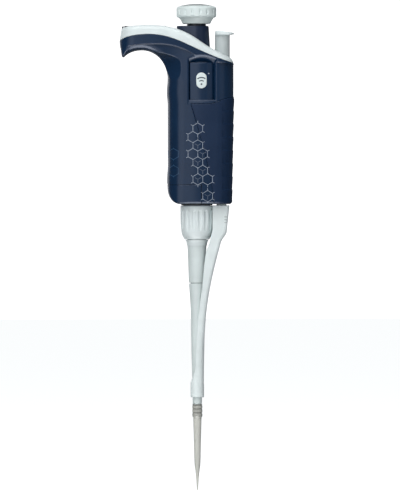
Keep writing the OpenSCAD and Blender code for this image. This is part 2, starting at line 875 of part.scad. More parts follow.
module shell_screws() {
    color("silver") for (s = screw_spots)
        translate([s[0], 0, s[1]]) rotate([-90, 0, 0]) {
            translate([0, 0, -8]) cylinder(r = 1, h = 16.1, $fn = 32);
            difference() {
                translate([0, 0, 8.05]) cylinder(r = 1.9, h = 1.4, $fn = 32);
                for (a = [0, 90])
                    rotate(a) translate([-1.2, -0.2, 9]) cube([2.4, 0.4, 1]);
            }
        }
}

handle_shell(-1);  // handle_shell_near
handle_shell(1);  // handle_shell_far
lower_cap();
top_cover();
plunger_collar();
grip_panel();
side_panel(-1);  // side_panel_near
side_panel(1);  // side_panel_far
wireless_badge();
display_lens();
display_module();
key_mat();
key(-1);  // key_left
key(0);  // key_enter
key(1);  // key_right
control_board();
main_board();
wireless_module();
battery();
charging_socket();
plunger_knob();
knob_cap();
knob_screw();
plunger_stem();
plunger_spring();
plunger_switch();
switch_board();
ejector_button();
ejector_rod();
ejector_guide();
ejector_spring();
ejector_arm();
drive_motor();
motor_bearings();
motor_rotor();
motor_bracket();
motor_screws();
drive_screw();
threaded_spigot();
spigot_gasket();
connecting_nut();
nut_ring();
barrel();
nose_cone();
piston();
piston_cap();
piston_spring();
piston_seal();
seal_o_ring();
seal_retainer();
pipette_tip();
shell_screws();
board_screws();
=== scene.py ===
"""Looks of a hand-held electronic pipette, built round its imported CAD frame.

Sizes and places are in millimetres, in the frame's own axes: +Z up the plunger axis, -X the finger
hook, -Y the near side. Solid pieces are written as distance fields, negative inside, and meshed.
"""
import json
import math

import bpy
import numpy as np
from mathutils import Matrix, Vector


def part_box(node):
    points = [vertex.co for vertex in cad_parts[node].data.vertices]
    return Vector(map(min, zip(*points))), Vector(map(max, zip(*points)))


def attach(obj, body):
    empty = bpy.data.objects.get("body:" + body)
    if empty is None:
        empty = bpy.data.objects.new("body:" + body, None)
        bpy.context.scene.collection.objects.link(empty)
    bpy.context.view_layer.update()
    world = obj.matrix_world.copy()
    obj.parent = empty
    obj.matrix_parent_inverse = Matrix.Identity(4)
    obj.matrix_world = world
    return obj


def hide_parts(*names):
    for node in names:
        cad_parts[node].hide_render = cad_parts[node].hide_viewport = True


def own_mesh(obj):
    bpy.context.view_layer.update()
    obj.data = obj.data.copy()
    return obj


MM = 0.001
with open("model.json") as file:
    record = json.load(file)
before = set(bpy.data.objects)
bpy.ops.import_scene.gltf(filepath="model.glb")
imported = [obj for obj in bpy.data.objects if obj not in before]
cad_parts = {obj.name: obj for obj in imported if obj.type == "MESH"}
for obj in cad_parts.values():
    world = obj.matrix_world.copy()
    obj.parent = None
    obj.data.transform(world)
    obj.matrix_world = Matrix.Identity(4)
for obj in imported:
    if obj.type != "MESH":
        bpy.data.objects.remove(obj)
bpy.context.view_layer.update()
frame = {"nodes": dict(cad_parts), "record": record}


def span(node):
    """Lowest and highest corner of a CAD node, in millimetres."""
    low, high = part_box(node)
    return np.array(low) / MM, np.array(high) / MM


def middle(node):
    """The middle of a CAD node's box, in millimetres."""
    low, high = span(node)
    return (low + high) / 2


# ---- Sizes from the CAD frame ----

CAP_LOW, CAP_HIGH = span("lower_cap")
COVER_LOW, COVER_HIGH = span("top_cover")
GRIP_LOW, GRIP_HIGH = span("grip_panel")
BASE_Z = CAP_LOW[2]
BACK_X = CAP_LOW[0]
HALF_BODY = CAP_HIGH[1]
HALF_HOOK = COVER_HIGH[1]
HOOK_X = COVER_LOW[0]
TOP_Z = COVER_HIGH[2]
FRONT_X = GRIP_HIGH[0]
GRIP_TOP_Z = GRIP_HIGH[2]
CAP_SEAM_Z = CAP_HIGH[2]
CAP_SEAM_X = CAP_HIGH[0]
SHELL_FRONT_X = FRONT_X - 0.5
EJECTOR_X = (span("ejector_rod")[0][0] + span("ejector_rod")[1][0]) / 2
POST_R = 4.4
COLLAR_TOP_Z = span("plunger_collar")[1][2]
KNOB_R = span("plunger_knob")[1][0]
KNOB_Z = span("plunger_knob")[0][2]
NUT_R = span("connecting_nut")[1][0]
NUT_LOW_Z, NUT_TOP_Z = span("connecting_nut")[0][2], span("connecting_nut")[1][2]
RING_LOW_Z, RING_TOP_Z = span("nut_ring")[0][2], span("nut_ring")[1][2]
MOUTH_R = span("pipette_tip")[1][0]
TIP_LEN = span("pipette_tip")[1][2]
LENS_LOW, LENS_HIGH = span("display_lens")
LENS_X = (LENS_LOW[0] - 0.1, LENS_HIGH[0] + 0.1)
LENS_HALF = LENS_HIGH[1]
KEY_SPOTS = [(middle(k)[0], middle(k)[1]) for k in ("key_left", "key_enter", "key_right")]

# ---- Sizes read off the photo, or guessed ----

FLUTES = 16
SEAM_GAP = 0.01
WALL = 2.9
CORNER_R = 10.0
HOOK_EDGE_R = 4.2
HOOK_END_R = 9
FLANK_DROP, FLANK_X, FLANK_SPREAD = 1.2, 2.3, 11
BOW_START_X, BOW_SPREAD = -14, 800
HOOK_END_Z, HOOK_END_SLOPE = 264.9, 0.149
WELL_AHEAD = 60

GRIP_T = 1.2
GRIP_PROUD = 0.15
RIB_TOP_Z, RIB_PITCH, RIB_DEPTH = 222.4, 7.7, 0.28

RECESS_X = (-4.2, 9.8)
RECESS_LOW_Z = 229.3
RECESS_Y = 11.8
SILL_SLOPE = 3.6
ARCH_X, ARCH_Z, ARCH_RISE, ARCH_HALF = 2.8, 250.4, 1.5, 7

SCOOP_Z, SCOOP_UP, SCOOP_DOWN = 247.5, 9.6, 6.8
SCOOP_EDGE_X, SCOOP_END_X = -9.6, -30
SCOOP_SLOPE, SCOOP_DEPTH = 0.72, 1.2

PANEL_X = 3.2
PANEL_FACE = HALF_BODY - 0.6
PANEL_TOP_Z = 251.2
PANEL_BOW_R = 25
BADGE_X, BADGE_Z = 2.9, 240.6
BADGE_R = 3.08
BADGE_PROUD = 0.22
STATUS_X, STATUS_Z = 7.1, 244.6

COVER_T = 1.8
COLLAR_LOW_Z, COLLAR_FRONT_R, COLLAR_REACH = 255, 8.3, 6.4
SCREW_SPOTS = ((-12.4, 177.6), (-12.4, 231.5), (-32, 263.4))
COUNTERBORE_R, COUNTERBORE_Y = 2.15, 8
SPIGOT_HOLE_R = 8.4
KNOB_SHAFT_R, KNOB_HEAD_R = 3.05, 4.2


# ---- Curves ----

def curve(a, b, c, d, count=24):
    """Points along a cubic Bezier curve, without its last point."""
    t = np.linspace(0, 1, count, endpoint=False)[:, None]
    s = 1 - t
    a, b, c, d = (np.array(p, float) for p in (a, b, c, d))
    return s**3 * a + 3 * s * s * t * b + 3 * s * t * t * c + t**3 * d


SEAM = np.vstack([
    curve([HOOK_X, 263.7], [-42.5, 266.4], [-36, 267.9], [-27.5, 267.9]),
    curve([-27.5, 267.9], [-10.5, 267.6], [-2, 258], [SHELL_FRONT_X, 250.8], 40),
    [[SHELL_FRONT_X, 250.8]],
])
CREST = np.vstack([
    curve([SHELL_FRONT_X, 253.4], [16, 256.1], [9, 259.4], [4, 262.9]),
    curve([4, 262.9], [-5, 269.2], [-12, TOP_Z - 0.2], [-27.5, TOP_Z], 40),
    curve([-27.5, TOP_Z], [-35, TOP_Z], [-42, 273], [HOOK_X + 0.5, 271.2]),
    [[HOOK_X + 0.5, 271.2]],
])
FLANGE_EDGE = np.vstack([
    curve([SHELL_FRONT_X, 249.9], [14, 251.2], [3, 252.4], [-2, 256]),
    curve([-2, 256], [-8, 260], [-15, 262.2], [-24, 262.2]),
    curve([-24, 262.2], [-33, 262.2], [-40, 261], [HOOK_X - 1, 259.4]),
    [[HOOK_X - 1, 259.4]],
])
WAIST_X = BACK_X + 0.5
FOOT_X = FRONT_X - 1.3
GRIP_FLANK_Z, GRIP_FRONT_Z = GRIP_TOP_Z - 2, GRIP_TOP_Z + 1.5
HANDLE_SIDE = np.vstack([
    [[HOOK_X, HOOK_END_Z], [HOOK_X, 300], [SHELL_FRONT_X, 300], [SHELL_FRONT_X, GRIP_FRONT_Z + 0.8]],
    [[FRONT_X, GRIP_FRONT_Z], [FOOT_X, BASE_Z], [FOOT_X, BASE_Z - 30], [BACK_X, BASE_Z - 30]],
    curve([BACK_X, 180], [BACK_X, 188], [WAIST_X, 186], [WAIST_X, 192], 10),
    curve([WAIST_X, 226], [WAIST_X, 230], [BACK_X, 230], [BACK_X, 234], 10),
    curve([BACK_X, 234], [BACK_X, 238], [WAIST_X, 238], [WAIST_X, 243], 10),
    curve([WAIST_X, 243], [WAIST_X - 0.9, 253], [-25, 258.9], [-32, 258.9], 40),
    curve([-32, 258.9], [-36.5, 258.9], [-40, 257.6], [-42.6, 255]),
    curve([-42.6, 255], [-43, 254.6], [-43.9, 254.7], [-44, 255.5], 6),
    [[-44, 255.5]],
])
ABOVE_FOOT = np.vstack([
    [[60, 400], [60, BASE_Z]],
    curve([-9, BASE_Z], [-14.4, BASE_Z], [BACK_X, 172.4], [BACK_X, 180]),
    [[BACK_X, 180], [-50, 190], [-90, 400]],
])
GRIP_SIDE = np.vstack([
    [[-3.3, GRIP_FLANK_Z]],
    curve([8, GRIP_FLANK_Z], [12, GRIP_FLANK_Z], [15, GRIP_FRONT_Z], [20, GRIP_FRONT_Z], 12),
    [[FRONT_X + 5, GRIP_FRONT_Z], [FRONT_X + 5, BASE_Z - 5], [10.1, BASE_Z - 5]],
    curve([10.1, BASE_Z], [8.6, 187], [2, 209], [-3.2, GRIP_FLANK_Z - 0.4], 30),
])
BELOW_SEAM = np.vstack([SEAM, [[60, 250.8], [60, 100], [-90, 100], [-90, 263.7]]])
BELOW_CREST = np.vstack([CREST, [[-90, 271.2], [-90, 100], [60, 100], [60, 253.4]]])
ABOVE_FLANGE_EDGE = np.vstack([FLANGE_EDGE, [[-90, 259.4], [-90, 330], [60, 330], [60, 249.9]]])


# ---- Distance fields ----

def outline_distance(outline, u, v):
    """Signed distance from points to a closed outline."""
    u, v = np.broadcast_arrays(u, v)
    nearest = np.full(u.shape, np.inf)
    odd = np.zeros(u.shape, bool)
    for (ax, ay), (bx, by) in zip(outline, np.roll(outline, -1, axis=0)):
        ex, ey = bx - ax, by - ay
        length2 = ex * ex + ey * ey
        if length2 < 1e-12:
            continue
        wx, wy = u - ax, v - ay
        t = np.clip((wx * ex + wy * ey) / length2, 0, 1)
        nearest = np.minimum(nearest, (wx - t * ex) ** 2 + (wy - t * ey) ** 2)
        if ay != by:
            odd ^= ((ay > v) != (by > v)) & (wx < ex * wy / ey)
    return np.where(odd, -1, 1) * np.sqrt(nearest)


def rounded_max(a, b, r):
    """Intersection of two fields, with a round of radius r along their edge."""
    return np.minimum(np.maximum(a, b), -r) + np.hypot(np.maximum(a + r, 0), np.maximum(b + r, 0))


def rounded_min(a, b, r):
    """Union of two fields, with a fillet of radius r."""
    return -rounded_max(-a, -b, r)


def cut(a, b, r):
    """Field a with field b taken out of it."""
    return rounded_max(a, -b, r)


def smoothstep(low, high, value):
    """A smooth step from 0 at low to 1 at high. It falls instead where low is the larger."""
    t = np.clip((value - low) / (high - low), 0, 1)
    return t * t * (3 - 2 * t)


def rounded_box(u, v, u0, u1, half_v, r):
    """A rectangle in plan with round corners."""
    p = np.abs(u - (u0 + u1) / 2) - (u1 - u0) / 2 + r
    q = np.abs(v) - half_v + r
    return np.hypot(np.maximum(p, 0), np.maximum(q, 0)) + np.minimum(np.maximum(p, q), 0) - r


def slab(value, low, high):
    """Field of the space between two parallel planes."""
    return np.abs(value - (low + high) / 2) - (high - low) / 2


def turned(outline, x, y, z):
    """A solid of revolution from its outline of radius and height."""
    return outline_distance(outline, np.hypot(x, y), z)


def flute_rods(x, y, z, ring_r, rod_r, z0, z1, count=FLUTES):
    """A ring of upright round-ended rods, to cut from a turned part. None lies on the X axis."""
    step = 2 * math.pi / count
    angle = np.mod(np.arctan2(y, x), step) - step / 2
    r = np.hypot(x, y)
    over = np.maximum(np.abs(z - (z0 + z1) / 2) - (z1 - z0) / 2, 0)
    return np.sqrt((r * np.cos(angle) - ring_r) ** 2 + (r * np.sin(angle)) ** 2 + over**2) - rod_r


# ---- Meshing ----

SLOPE_REACH = 0.12


def surface_net(values, origin, step):
    """Points and quads of the zero surface of a sampled field."""
    inside = values < 0
    cells_shape = tuple(n - 1 for n in values.shape)
    count = np.zeros(cells_shape, np.int8)
    for i in (0, 1):
        for j in (0, 1):
            for k in (0, 1):
                count += inside[i:i + cells_shape[0], j:j + cells_shape[1], k:k + cells_shape[2]]
    active = (count > 0) & (count < 8)
    index = np.full(cells_shape, -1, np.int64)
    cells = np.argwhere(active)
    index[active] = np.arange(len(cells))
    total = np.zeros((len(cells), 3))
    crossings = np.zeros(len(cells))
    units = np.eye(3, dtype=np.int64)
    for axis in range(3):
        for a in (0, 1):
            for b in (0, 1):
                start = cells + a * units[(axis + 1) % 3] + b * units[(axis + 2) % 3]
                va = values[tuple(start.T)]
                vb = values[tuple((start + units[axis]).T)]
                crosses = (va < 0) != (vb < 0)
                t = np.where(crosses, va / np.where(crosses, va - vb, 1), 0)
                total += np.where(crosses[:, None], start + t[:, None] * units[axis], 0)
                crossings += crosses
    points = origin + step * total / crossings[:, None]
    quads = []
    for axis in range(3):
        u, v = units[(axis + 1) % 3], units[(axis + 2) % 3]
        lower = [slice(None)] * 3
        upper = [slice(None)] * 3
        lower[axis], upper[axis] = slice(0, -1), slice(1, None)
        first = inside[tuple(lower)]
        changed = first != inside[tuple(upper)]
        spots = np.argwhere(changed)
        spots = spots[(spots @ u > 0) & (spots @ v > 0)]
        limit = np.array(cells_shape)
        spots = spots[(spots < limit).all(axis=1)]
        ring = [spots - u - v, spots - v, spots, spots - u]
        quad = np.stack([index[tuple(c.T)] for c in ring], axis=1)
        outward = first[tuple(spots.T)]
        quads.append(np.where(outward[:, None], quad, quad[:, ::-1]))
    return points, np.vstack(quads)


def gradient(field, points, reach):
    """The field's gradient at some points."""
    slopes = []
    for axis in range(3):
        shift = np.zeros(3)
        shift[axis] = reach
        ahead, behind = (points + shift).T, (points - shift).T
        slopes.append((field(*ahead) - field(*behind)) / (2 * reach))
    return np.stack(slopes, axis=1)


def mesh_object(name, points, faces):
    """A mesh object from points in millimetres and faces that all have as many corners."""
    faces = np.asarray(faces, np.int32)
    corners = faces.shape[1]
    mesh = bpy.data.meshes.new(name)
    mesh.vertices.add(len(points))
    mesh.vertices.foreach_set("co", (np.asarray(points) * MM).astype(np.float32).ravel())
    mesh.loops.add(faces.size)
    mesh.loops.foreach_set("vertex_index", faces.ravel())
    mesh.polygons.add(len(faces))
    mesh.polygons.foreach_set("loop_start", np.arange(0, faces.size, corners, dtype=np.int32))
    mesh.update(calc_edges=True)
    mesh.validate()
    mesh.shade_smooth()
    piece = bpy.data.objects.new(name, mesh)
    bpy.context.scene.collection.objects.link(piece)
    return piece


def thin_out(piece, keep):
    """Collapses the mesh's flat areas to a share of its faces."""
    modifier = piece.modifiers.new("thin", "DECIMATE")
    modifier.ratio = keep
    graph = bpy.context.evaluated_depsgraph_get()
    fewer = bpy.data.meshes.new_from_object(piece.evaluated_get(graph))
    piece.modifiers.clear()
    full, piece.data = piece.data, fewer
    bpy.data.meshes.remove(full)
    piece.data.shade_smooth()


def place(piece, body, material, slot, *stands_for):
    """Gives a piece its CAD body and material, and hides the CAD nodes it stands for. The record slot is
    not used.
    """
    piece.data.materials.clear()
    piece.data.materials.append(material)
    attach(piece, body)
    if stands_for:
        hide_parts(*stands_for)
    return piece


def solid(name, field, low, high, step=0.4, keep=0.35):
    """Meshes a distance field between two corners, with the field's own normals."""
    margin = 2 * step
    axes = [np.arange(a - margin, b + margin + step, step) for a, b in zip(low, high)]
    grid = field(axes[0][:, None, None], axes[1][None, :, None], axes[2][None, None, :])
    origin = np.array([a[0] for a in axes])
    points, faces = surface_net(grid, origin, step)
    piece = mesh_object(name, points, faces)
    if keep < 1:
        thin_out(piece, keep)
    points = np.zeros(len(piece.data.vertices) * 3, np.float32)
    piece.data.vertices.foreach_get("co", points)
    points = points.reshape(-1, 3) / MM
    slope = gradient(field, points, SLOPE_REACH)
    steepness = np.maximum((slope**2).sum(axis=1), 0.2)
    move = slope * (field(*points.T) / steepness)[:, None]
    length = np.linalg.norm(move, axis=1, keepdims=True)
    points = points - move * np.minimum(1, 0.5 * step / np.maximum(length, 1e-9))
    piece.data.vertices.foreach_set("co", (points * MM).astype(np.float32).ravel())
    slope = gradient(field, points, SLOPE_REACH)
    normals = slope / np.maximum(np.linalg.norm(slope, axis=1, keepdims=True), 1e-9)
    piece.data.update()
    piece.data.normals_split_custom_set_from_vertices([tuple(n) for n in normals])
    return piece


def lathe(name, outline, segments=96):
    """Revolves a closed outline of radius and height, which stays off the axis."""
    outline = np.asarray(outline, float)
    angles = np.linspace(0, 2 * math.pi, segments, endpoint=False)
    rings = [np.column_stack([outline[:, 0] * math.cos(a), outline[:, 0] * math.sin(a), outline[:, 1]])
             for a in angles]
    n = len(outline)
    i, j = np.meshgrid(np.arange(segments), np.arange(n), indexing="ij")
    here, after = i * n, (i + 1) % segments * n
    quads = np.stack([here + j, after + j, after + (j + 1) % n, here + (j + 1) % n], axis=-1)
    piece = mesh_object(name, np.vstack(rings), quads.reshape(-1, 4))
    piece.data.set_sharp_from_angle(angle=math.radians(35))
    return piece


# ---- Materials ----

def moulded(name, colour, roughness, grain=2600, bump=0.05, mottle=0.06, **sockets):
    """A moulded plastic, rubber or metal: fine grain, slight mottling and uneven gloss."""
    material = bpy.data.materials.new(name)
    material.use_nodes = True
    tree = material.node_tree
    shader = tree.nodes["Principled BSDF"]
    place_in = tree.nodes.new("ShaderNodeTexCoord")
    broad = tree.nodes.new("ShaderNodeTexNoise")
    broad.inputs["Scale"].default_value = 90
    broad.inputs["Detail"].default_value = 3
    tint = tree.nodes.new("ShaderNodeValToRGB")
    tint.color_ramp.elements[0].position = 0.3
    tint.color_ramp.elements[1].position = 0.7
    tint.color_ramp.elements[0].color = (*[c * (1 - mottle) for c in colour], 1)
    tint.color_ramp.elements[1].color = (*[min(1, c * (1 + mottle)) for c in colour], 1)
    fine = tree.nodes.new("ShaderNodeTexNoise")
    fine.inputs["Scale"].default_value = grain
    fine.inputs["Detail"].default_value = 2
    gloss = tree.nodes.new("ShaderNodeMapRange")
    gloss.inputs["To Min"].default_value = roughness * 0.85
    gloss.inputs["To Max"].default_value = min(1, roughness * 1.15)
    relief = tree.nodes.new("ShaderNodeBump")
    relief.inputs["Strength"].default_value = bump
    relief.inputs["Distance"].default_value = 0.1 * MM
    link = tree.links.new
    link(place_in.outputs["Object"], broad.inputs["Vector"])
    link(place_in.outputs["Object"], fine.inputs["Vector"])
    link(broad.outputs["Fac"], tint.inputs["Fac"])
    link(tint.outputs["Color"], shader.inputs["Base Color"])
    link(broad.outputs["Fac"], gloss.inputs["Value"])
    link(gloss.outputs["Result"], shader.inputs["Roughness"])
    link(fine.outputs["Fac"], relief.inputs["Height"])
    link(relief.outputs["Normal"], shader.inputs["Normal"])
    for socket, value in sockets.items():
        shader.inputs[socket.replace("_", " ")].default_value = value
    return material


NAVY = (0.0030, 0.0180, 0.0500)
PALE = (0.715, 0.785, 0.79)
COOL = (0.82, 0.87, 1.0, 1.0)

MATERIALS = {
    "handle_plastic": moulded("navy_plastic", NAVY, 0.24, bump=0.03, Specular_Tint=COOL),
    "pale_plastic": moulded("pale_plastic", PALE, 0.42),
    "collar_plastic": moulded("collar_navy", (0.006, 0.016, 0.042), 0.34, Specular_Tint=COOL),
    "grip_rubber": moulded("grip_rubber", (0.0030, 0.0165, 0.0500), 0.42, grain=1500, bump=0.16,
                           Specular_Tint=COOL, Specular_IOR_Level=0.36),
    "badge_plastic": moulded("badge_print", (0.68, 0.76, 0.76), 0.4),
    "lens_clear": moulded("display_glass", (0.012, 0.014, 0.016), 0.08, bump=0.0),
    "display_body": moulded("display_frame", (0.05, 0.058, 0.055), 0.55),
    "key_rubber": moulded("key_rubber", (0.030, 0.036, 0.045), 0.6, grain=1500, bump=0.12),
    "circuit_board": moulded("circuit_board", (0.012, 0.085, 0.035), 0.38, grain=900, bump=0.15,
                             mottle=0.25),
    "battery_wrap": moulded("battery_wrap", (0.42, 0.43, 0.46), 0.3),
    "plated_steel": moulded("plated_steel", (0.62, 0.62, 0.64), 0.26, Metallic=1.0),
    "knob_plastic": moulded("knob_plastic", (0.685, 0.765, 0.760), 0.45),
    "knob_cap_plastic": moulded("knob_cap_plastic", (0.42, 0.455, 0.455), 0.4),
    "stem_plastic": moulded("stem_plastic", (0.010, 0.013, 0.020), 0.35),
    "spring_steel": moulded("spring_steel", (0.5, 0.51, 0.53), 0.32, Metallic=1.0),
    "switch_plastic": moulded("switch_plastic", (0.02, 0.02, 0.022), 0.4),
    "polished_steel": moulded("polished_steel", (0.68, 0.69, 0.71), 0.14, bump=0.01, Metallic=1.0),
    "bearing_plastic": moulded("bearing_plastic", (0.62, 0.56, 0.40), 0.45),
    "arm_plastic": moulded("arm_plastic", (0.74, 0.81, 0.81), 0.46),
    "motor_steel": moulded("motor_steel", (0.52, 0.53, 0.56), 0.34, Metallic=1.0),
    "rotor_iron": moulded("rotor_iron", (0.16, 0.145, 0.13), 0.5, Metallic=0.9),
    "bracket_plastic": moulded("bracket_plastic", (0.055, 0.062, 0.075), 0.5),
    "black_rubber": moulded("black_rubber", (0.008, 0.008, 0.009), 0.6, grain=1500, bump=0.12),
    "barrel_plastic": moulded("barrel_plastic", (0.635, 0.705, 0.70), 0.42),
    "seal_plastic": moulded("seal_plastic", (0.80, 0.80, 0.77), 0.5),
    "tip_plastic": moulded("tip_plastic", (0.63, 0.635, 0.585), 0.32, Transmission_Weight=0.08),
}


def banded(material, low, high, bands):
    """Paints shade onto a material: darker in bands along Z, between two heights in millimetres."""
    tree = material.node_tree
    shader = tree.nodes["Principled BSDF"]
    colour = shader.inputs["Base Color"].links[0].from_socket
    split = tree.nodes.new("ShaderNodeSeparateXYZ")
    height = tree.nodes.new("ShaderNodeMapRange")
    height.inputs["From Min"].default_value = low * MM
    height.inputs["From Max"].default_value = high * MM
    ramp = tree.nodes.new("ShaderNodeValToRGB")
    for stop, shade in zip(ramp.color_ramp.elements, (bands[0][1], bands[-1][1])):
        stop.color = (shade, shade, shade, 1)
    for z, shade in bands:
        stop = ramp.color_ramp.elements.new((z - low) / (high - low))
        stop.color = (shade, shade, shade, 1)
    shaded = tree.nodes.new("ShaderNodeMix")
    shaded.data_type = "RGBA"
    shaded.blend_type = "MULTIPLY"
    shaded.inputs["Factor"].default_value = 1
    place_in = next(n for n in tree.nodes if n.bl_idname == "ShaderNodeTexCoord")
    colours_in = [socket for socket in shaded.inputs if socket.type == "RGBA"]
    tree.links.new(place_in.outputs["Object"], split.inputs["Vector"])
    tree.links.new(split.outputs["Z"], height.inputs["Value"])
    tree.links.new(height.outputs["Result"], ramp.inputs["Fac"])
    tree.links.new(colour, colours_in[0])
    tree.links.new(ramp.outputs["Color"], colours_in[1])
    tree.links.new(shaded.outputs[2], shader.inputs["Base Color"])


RING_Z = (43.6, 45.9, 48.2)
RING_H = 1.4
RING_SHADE, GROOVE_SHADE = 0.7, 0.35


def ring_bands():
    """Painted shade up the tip's mouth: plain below, then each ring darkened, with a darker painted
    shadow in the groove above it.
    """
    bands = [(RING_Z[0] - 0.6, 1)]
    for z in RING_Z:
        bands += [(z, RING_SHADE), (z + RING_H, RING_SHADE), (z + RING_H + 0.4, GROOVE_SHADE)]
    return bands


# Painted shade: the tip's rings are darkened, and its grooves darker still.
banded(MATERIALS["tip_plastic"], 40, 51, ring_bands())
# Painted shade: the knob's skirt, under its rim, is darker below 277.4 mm.
banded(MATERIALS["knob_plastic"], 270, 286, [(277.4, 0.78), (278.8, 1)])
# A copy of the pale plastic with painted shade: the button's post, under its plate, is darker below
# 267.2 mm.
SHADED_BUTTON_PLASTIC = moulded("button_plastic_painted_shade", PALE, 0.42)
banded(SHADED_BUTTON_PLASTIC, 250, 270, [(267.2, 0.76), (267.6, 1)])
PRINT = moulded("pattern_print", (0.27, 0.31, 0.38), 0.45)
PRINT_DIM = moulded("pattern_print_dim", (0.075, 0.10, 0.15), 0.45)
PRINT_FAINT = moulded("pattern_print_faint", (0.012, 0.052, 0.12), 0.45)

for row in frame["record"]["subparts"]:
    shown = frame["nodes"][row["node"]]
    shown.data.materials.clear()
    shown.data.materials.append(MATERIALS[row["material_slot"]])


# ---- Handle ----

def crown(x):
    """How far the flanks fall away from their fullest line, on the plunger axis."""
    return FLANK_DROP * (1 - np.exp(-((x - FLANK_X) / FLANK_SPREAD) ** 2))


def edge_round(x, z):
    """Radius of the handle's long edges: full on the body and small on the hook."""
    hook = smoothstep(238, 254, z) * smoothstep(2, -10, x)
    return CORNER_R + (HOOK_EDGE_R - CORNER_R) * hook


def hook_bow(x):
    """How far the hook's sides draw in towards its end."""
    return np.maximum(BOW_START_X - x, 0) ** 2 / BOW_SPREAD


def end_plan(x, y, front_x):
    """The hook seen from above: its sides draw in to an end with round corners."""
    return rounded_box(x, np.abs(y) + hook_bow(x), HOOK_X, front_x, HALF_HOOK, HOOK_END_R)


def envelope(x, y, z, proud=0.0):
    """The handle's outer surface, with its top left open."""
    side = outline_distance(HANDLE_SIDE, x, z)
    flank = np.abs(y) - (HALF_BODY - crown(x) + proud)
    body = rounded_max(side, flank, edge_round(x, z))
    body = rounded_max(body, end_plan(x, y, WELL_AHEAD), 0.6)
    foot_r = 0.8 + smoothstep(-14, -4, x)
    return rounded_max(body, outline_distance(ABOVE_FOOT, x, z), foot_r)


def flange(x, y, z):
    """The upright band that carries the cover."""
    plan = end_plan(x, y, SHELL_FRONT_X + 0.2)
    end = HOOK_X + HOOK_END_SLOPE * np.maximum(HOOK_END_Z - z, 0) - x
    return np.maximum(rounded_max(plan, outline_distance(ABOVE_FLANGE_EDGE, x, z), 0.4), end)


def cap_zone(x, z):
    """The corner of the handle that the lower cap fills."""
    return np.maximum(z - CAP_SEAM_Z, x - CAP_SEAM_X)


def recess(x, y, z):
    """The pocket in each flank for the side panel. Its walls lean outwards, and its sill slants down."""
    depth = np.abs(y) - RECESS_Y
    arch = ARCH_Z + ARCH_RISE * (1 - ((x - ARCH_X) / ARCH_HALF) ** 2)
    front, back = x - RECESS_X[1] - 0.5 * depth, RECESS_X[0] - x - 0.12 * depth
    across = 0.9 * np.maximum(front, back)
    slant = (RECESS_LOW_Z - SILL_SLOPE * (np.abs(y) - PANEL_FACE) - z) / math.hypot(1, SILL_SLOPE)
    sill = np.minimum(RECESS_LOW_Z - z, slant)
    up = np.maximum((z - arch - depth) * 0.75, sill)
    return np.maximum(np.maximum(across, up), -depth)


def finger_scoop(x, y, z):
    """The slanted hollow on each flank where the hook grows out of the handle. Its edge is a curve."""
    above = np.maximum(z - SCOOP_Z, 0) / SCOOP_UP
    below = np.minimum(z - SCOOP_Z, 0) / SCOOP_DOWN
    edge_x = SCOOP_EDGE_X - 12.3 * above**4.2 - 1.6 * below**2
    edge_turn = 5.4 * above**3.2 + 0.47 * np.abs(below)
    out = HALF_BODY - SCOOP_DEPTH + SCOOP_SLOPE * (x - edge_x) - np.abs(y)
    steepness = np.sqrt(1 + SCOOP_SLOPE**2 * (1 + edge_turn**2))
    return np.maximum(out / steepness, SCOOP_END_X - x)


def passages(x, y, z):
    """Room for the spigot, the arm's neck and the button's post, and the charging socket's mouth."""
    spigot = np.maximum(np.hypot(x, y) - SPIGOT_HOLE_R, z - 174)
    neck = np.maximum(np.maximum(slab(x, 11.0, 18.0), np.abs(y) - 4.7), z - 175)
    mouth = np.maximum(np.maximum(17.5 - x, np.abs(y) - 4.1), slab(z, 231.9, 235.7))
    post = np.maximum(np.hypot(x - EJECTOR_X, y) - POST_R - 0.4, 240 - z)
    return np.minimum.reduce([spigot, neck, mouth, post])


def hollow(x, y, z):
    """The space inside the handle, kept clear of the pockets' own walls."""
    room = envelope(x, y, z) + WALL
    return np.maximum(np.maximum(room, 1.2 - recess(x, y, z)), 1.2 - finger_scoop(x, y, z))


def handle_skin(x, y, z):
    """Both shells and the lower cap as one skin, hollow and open on top."""
    outer = rounded_min(envelope(x, y, z), flange(x, y, z), 0.35)
    outer = rounded_max(outer, outline_distance(BELOW_SEAM, x, z) + SEAM_GAP, 0.25)
    outer = cut(outer, finger_scoop(x, y, z), 0.3)
    outer = cut(outer, recess(x, y, z), 0.8)
    outer = cut(outer, hollow(x, y, z), 0.1)
    return cut(outer, passages(x, y, z), 0.3)


def counterbores(x, y, z):
    """The holes over the screw heads on the far side."""
    holes = [np.hypot(x - sx, z - sz) - COUNTERBORE_R for sx, sz in SCREW_SPOTS]
    return np.maximum(np.minimum.reduce(holes), COUNTERBORE_Y - y)


def grip_seat(x, y, z):
    """What the grip takes out of the shells."""
    return np.maximum(outline_distance(GRIP_SIDE, x, z), -(envelope(x, y, z) + GRIP_T + 0.05))


def shell(x, y, z):
    """The handle above the cap, with the seat for the grip."""
    body = cut(handle_skin(x, y, z), grip_seat(x, y, z), 0.12)
    return cut(body, cap_zone(x, z) - SEAM_GAP, 0.2)


def near_shell(x, y, z):
    return rounded_max(shell(x, y, z), y + SEAM_GAP, 0.15)


def far_shell(x, y, z):
    return cut(rounded_max(shell(x, y, z), SEAM_GAP - y, 0.15), counterbores(x, y, z), 0.2)


def lower_cap(x, y, z):
    body = rounded_max(handle_skin(x, y, z), cap_zone(x, z) + SEAM_GAP, 0.2)
    return cut(body, counterbores(x, y, z), 0.2)


def rib_relief(x, z):
    """Saw-tooth relief of the grip's front: a slanted step up at each rib, then a long fall away."""
    fall = np.mod(RIB_TOP_Z - z, RIB_PITCH) / RIB_PITCH
    tooth = np.where(fall < 0.9, fall / 0.9, (1 - fall) / 0.1)
    front = smoothstep(14.6, 15.8, x)
    return RIB_DEPTH * tooth * front * smoothstep(228, 224, z) * smoothstep(169, 172, z)


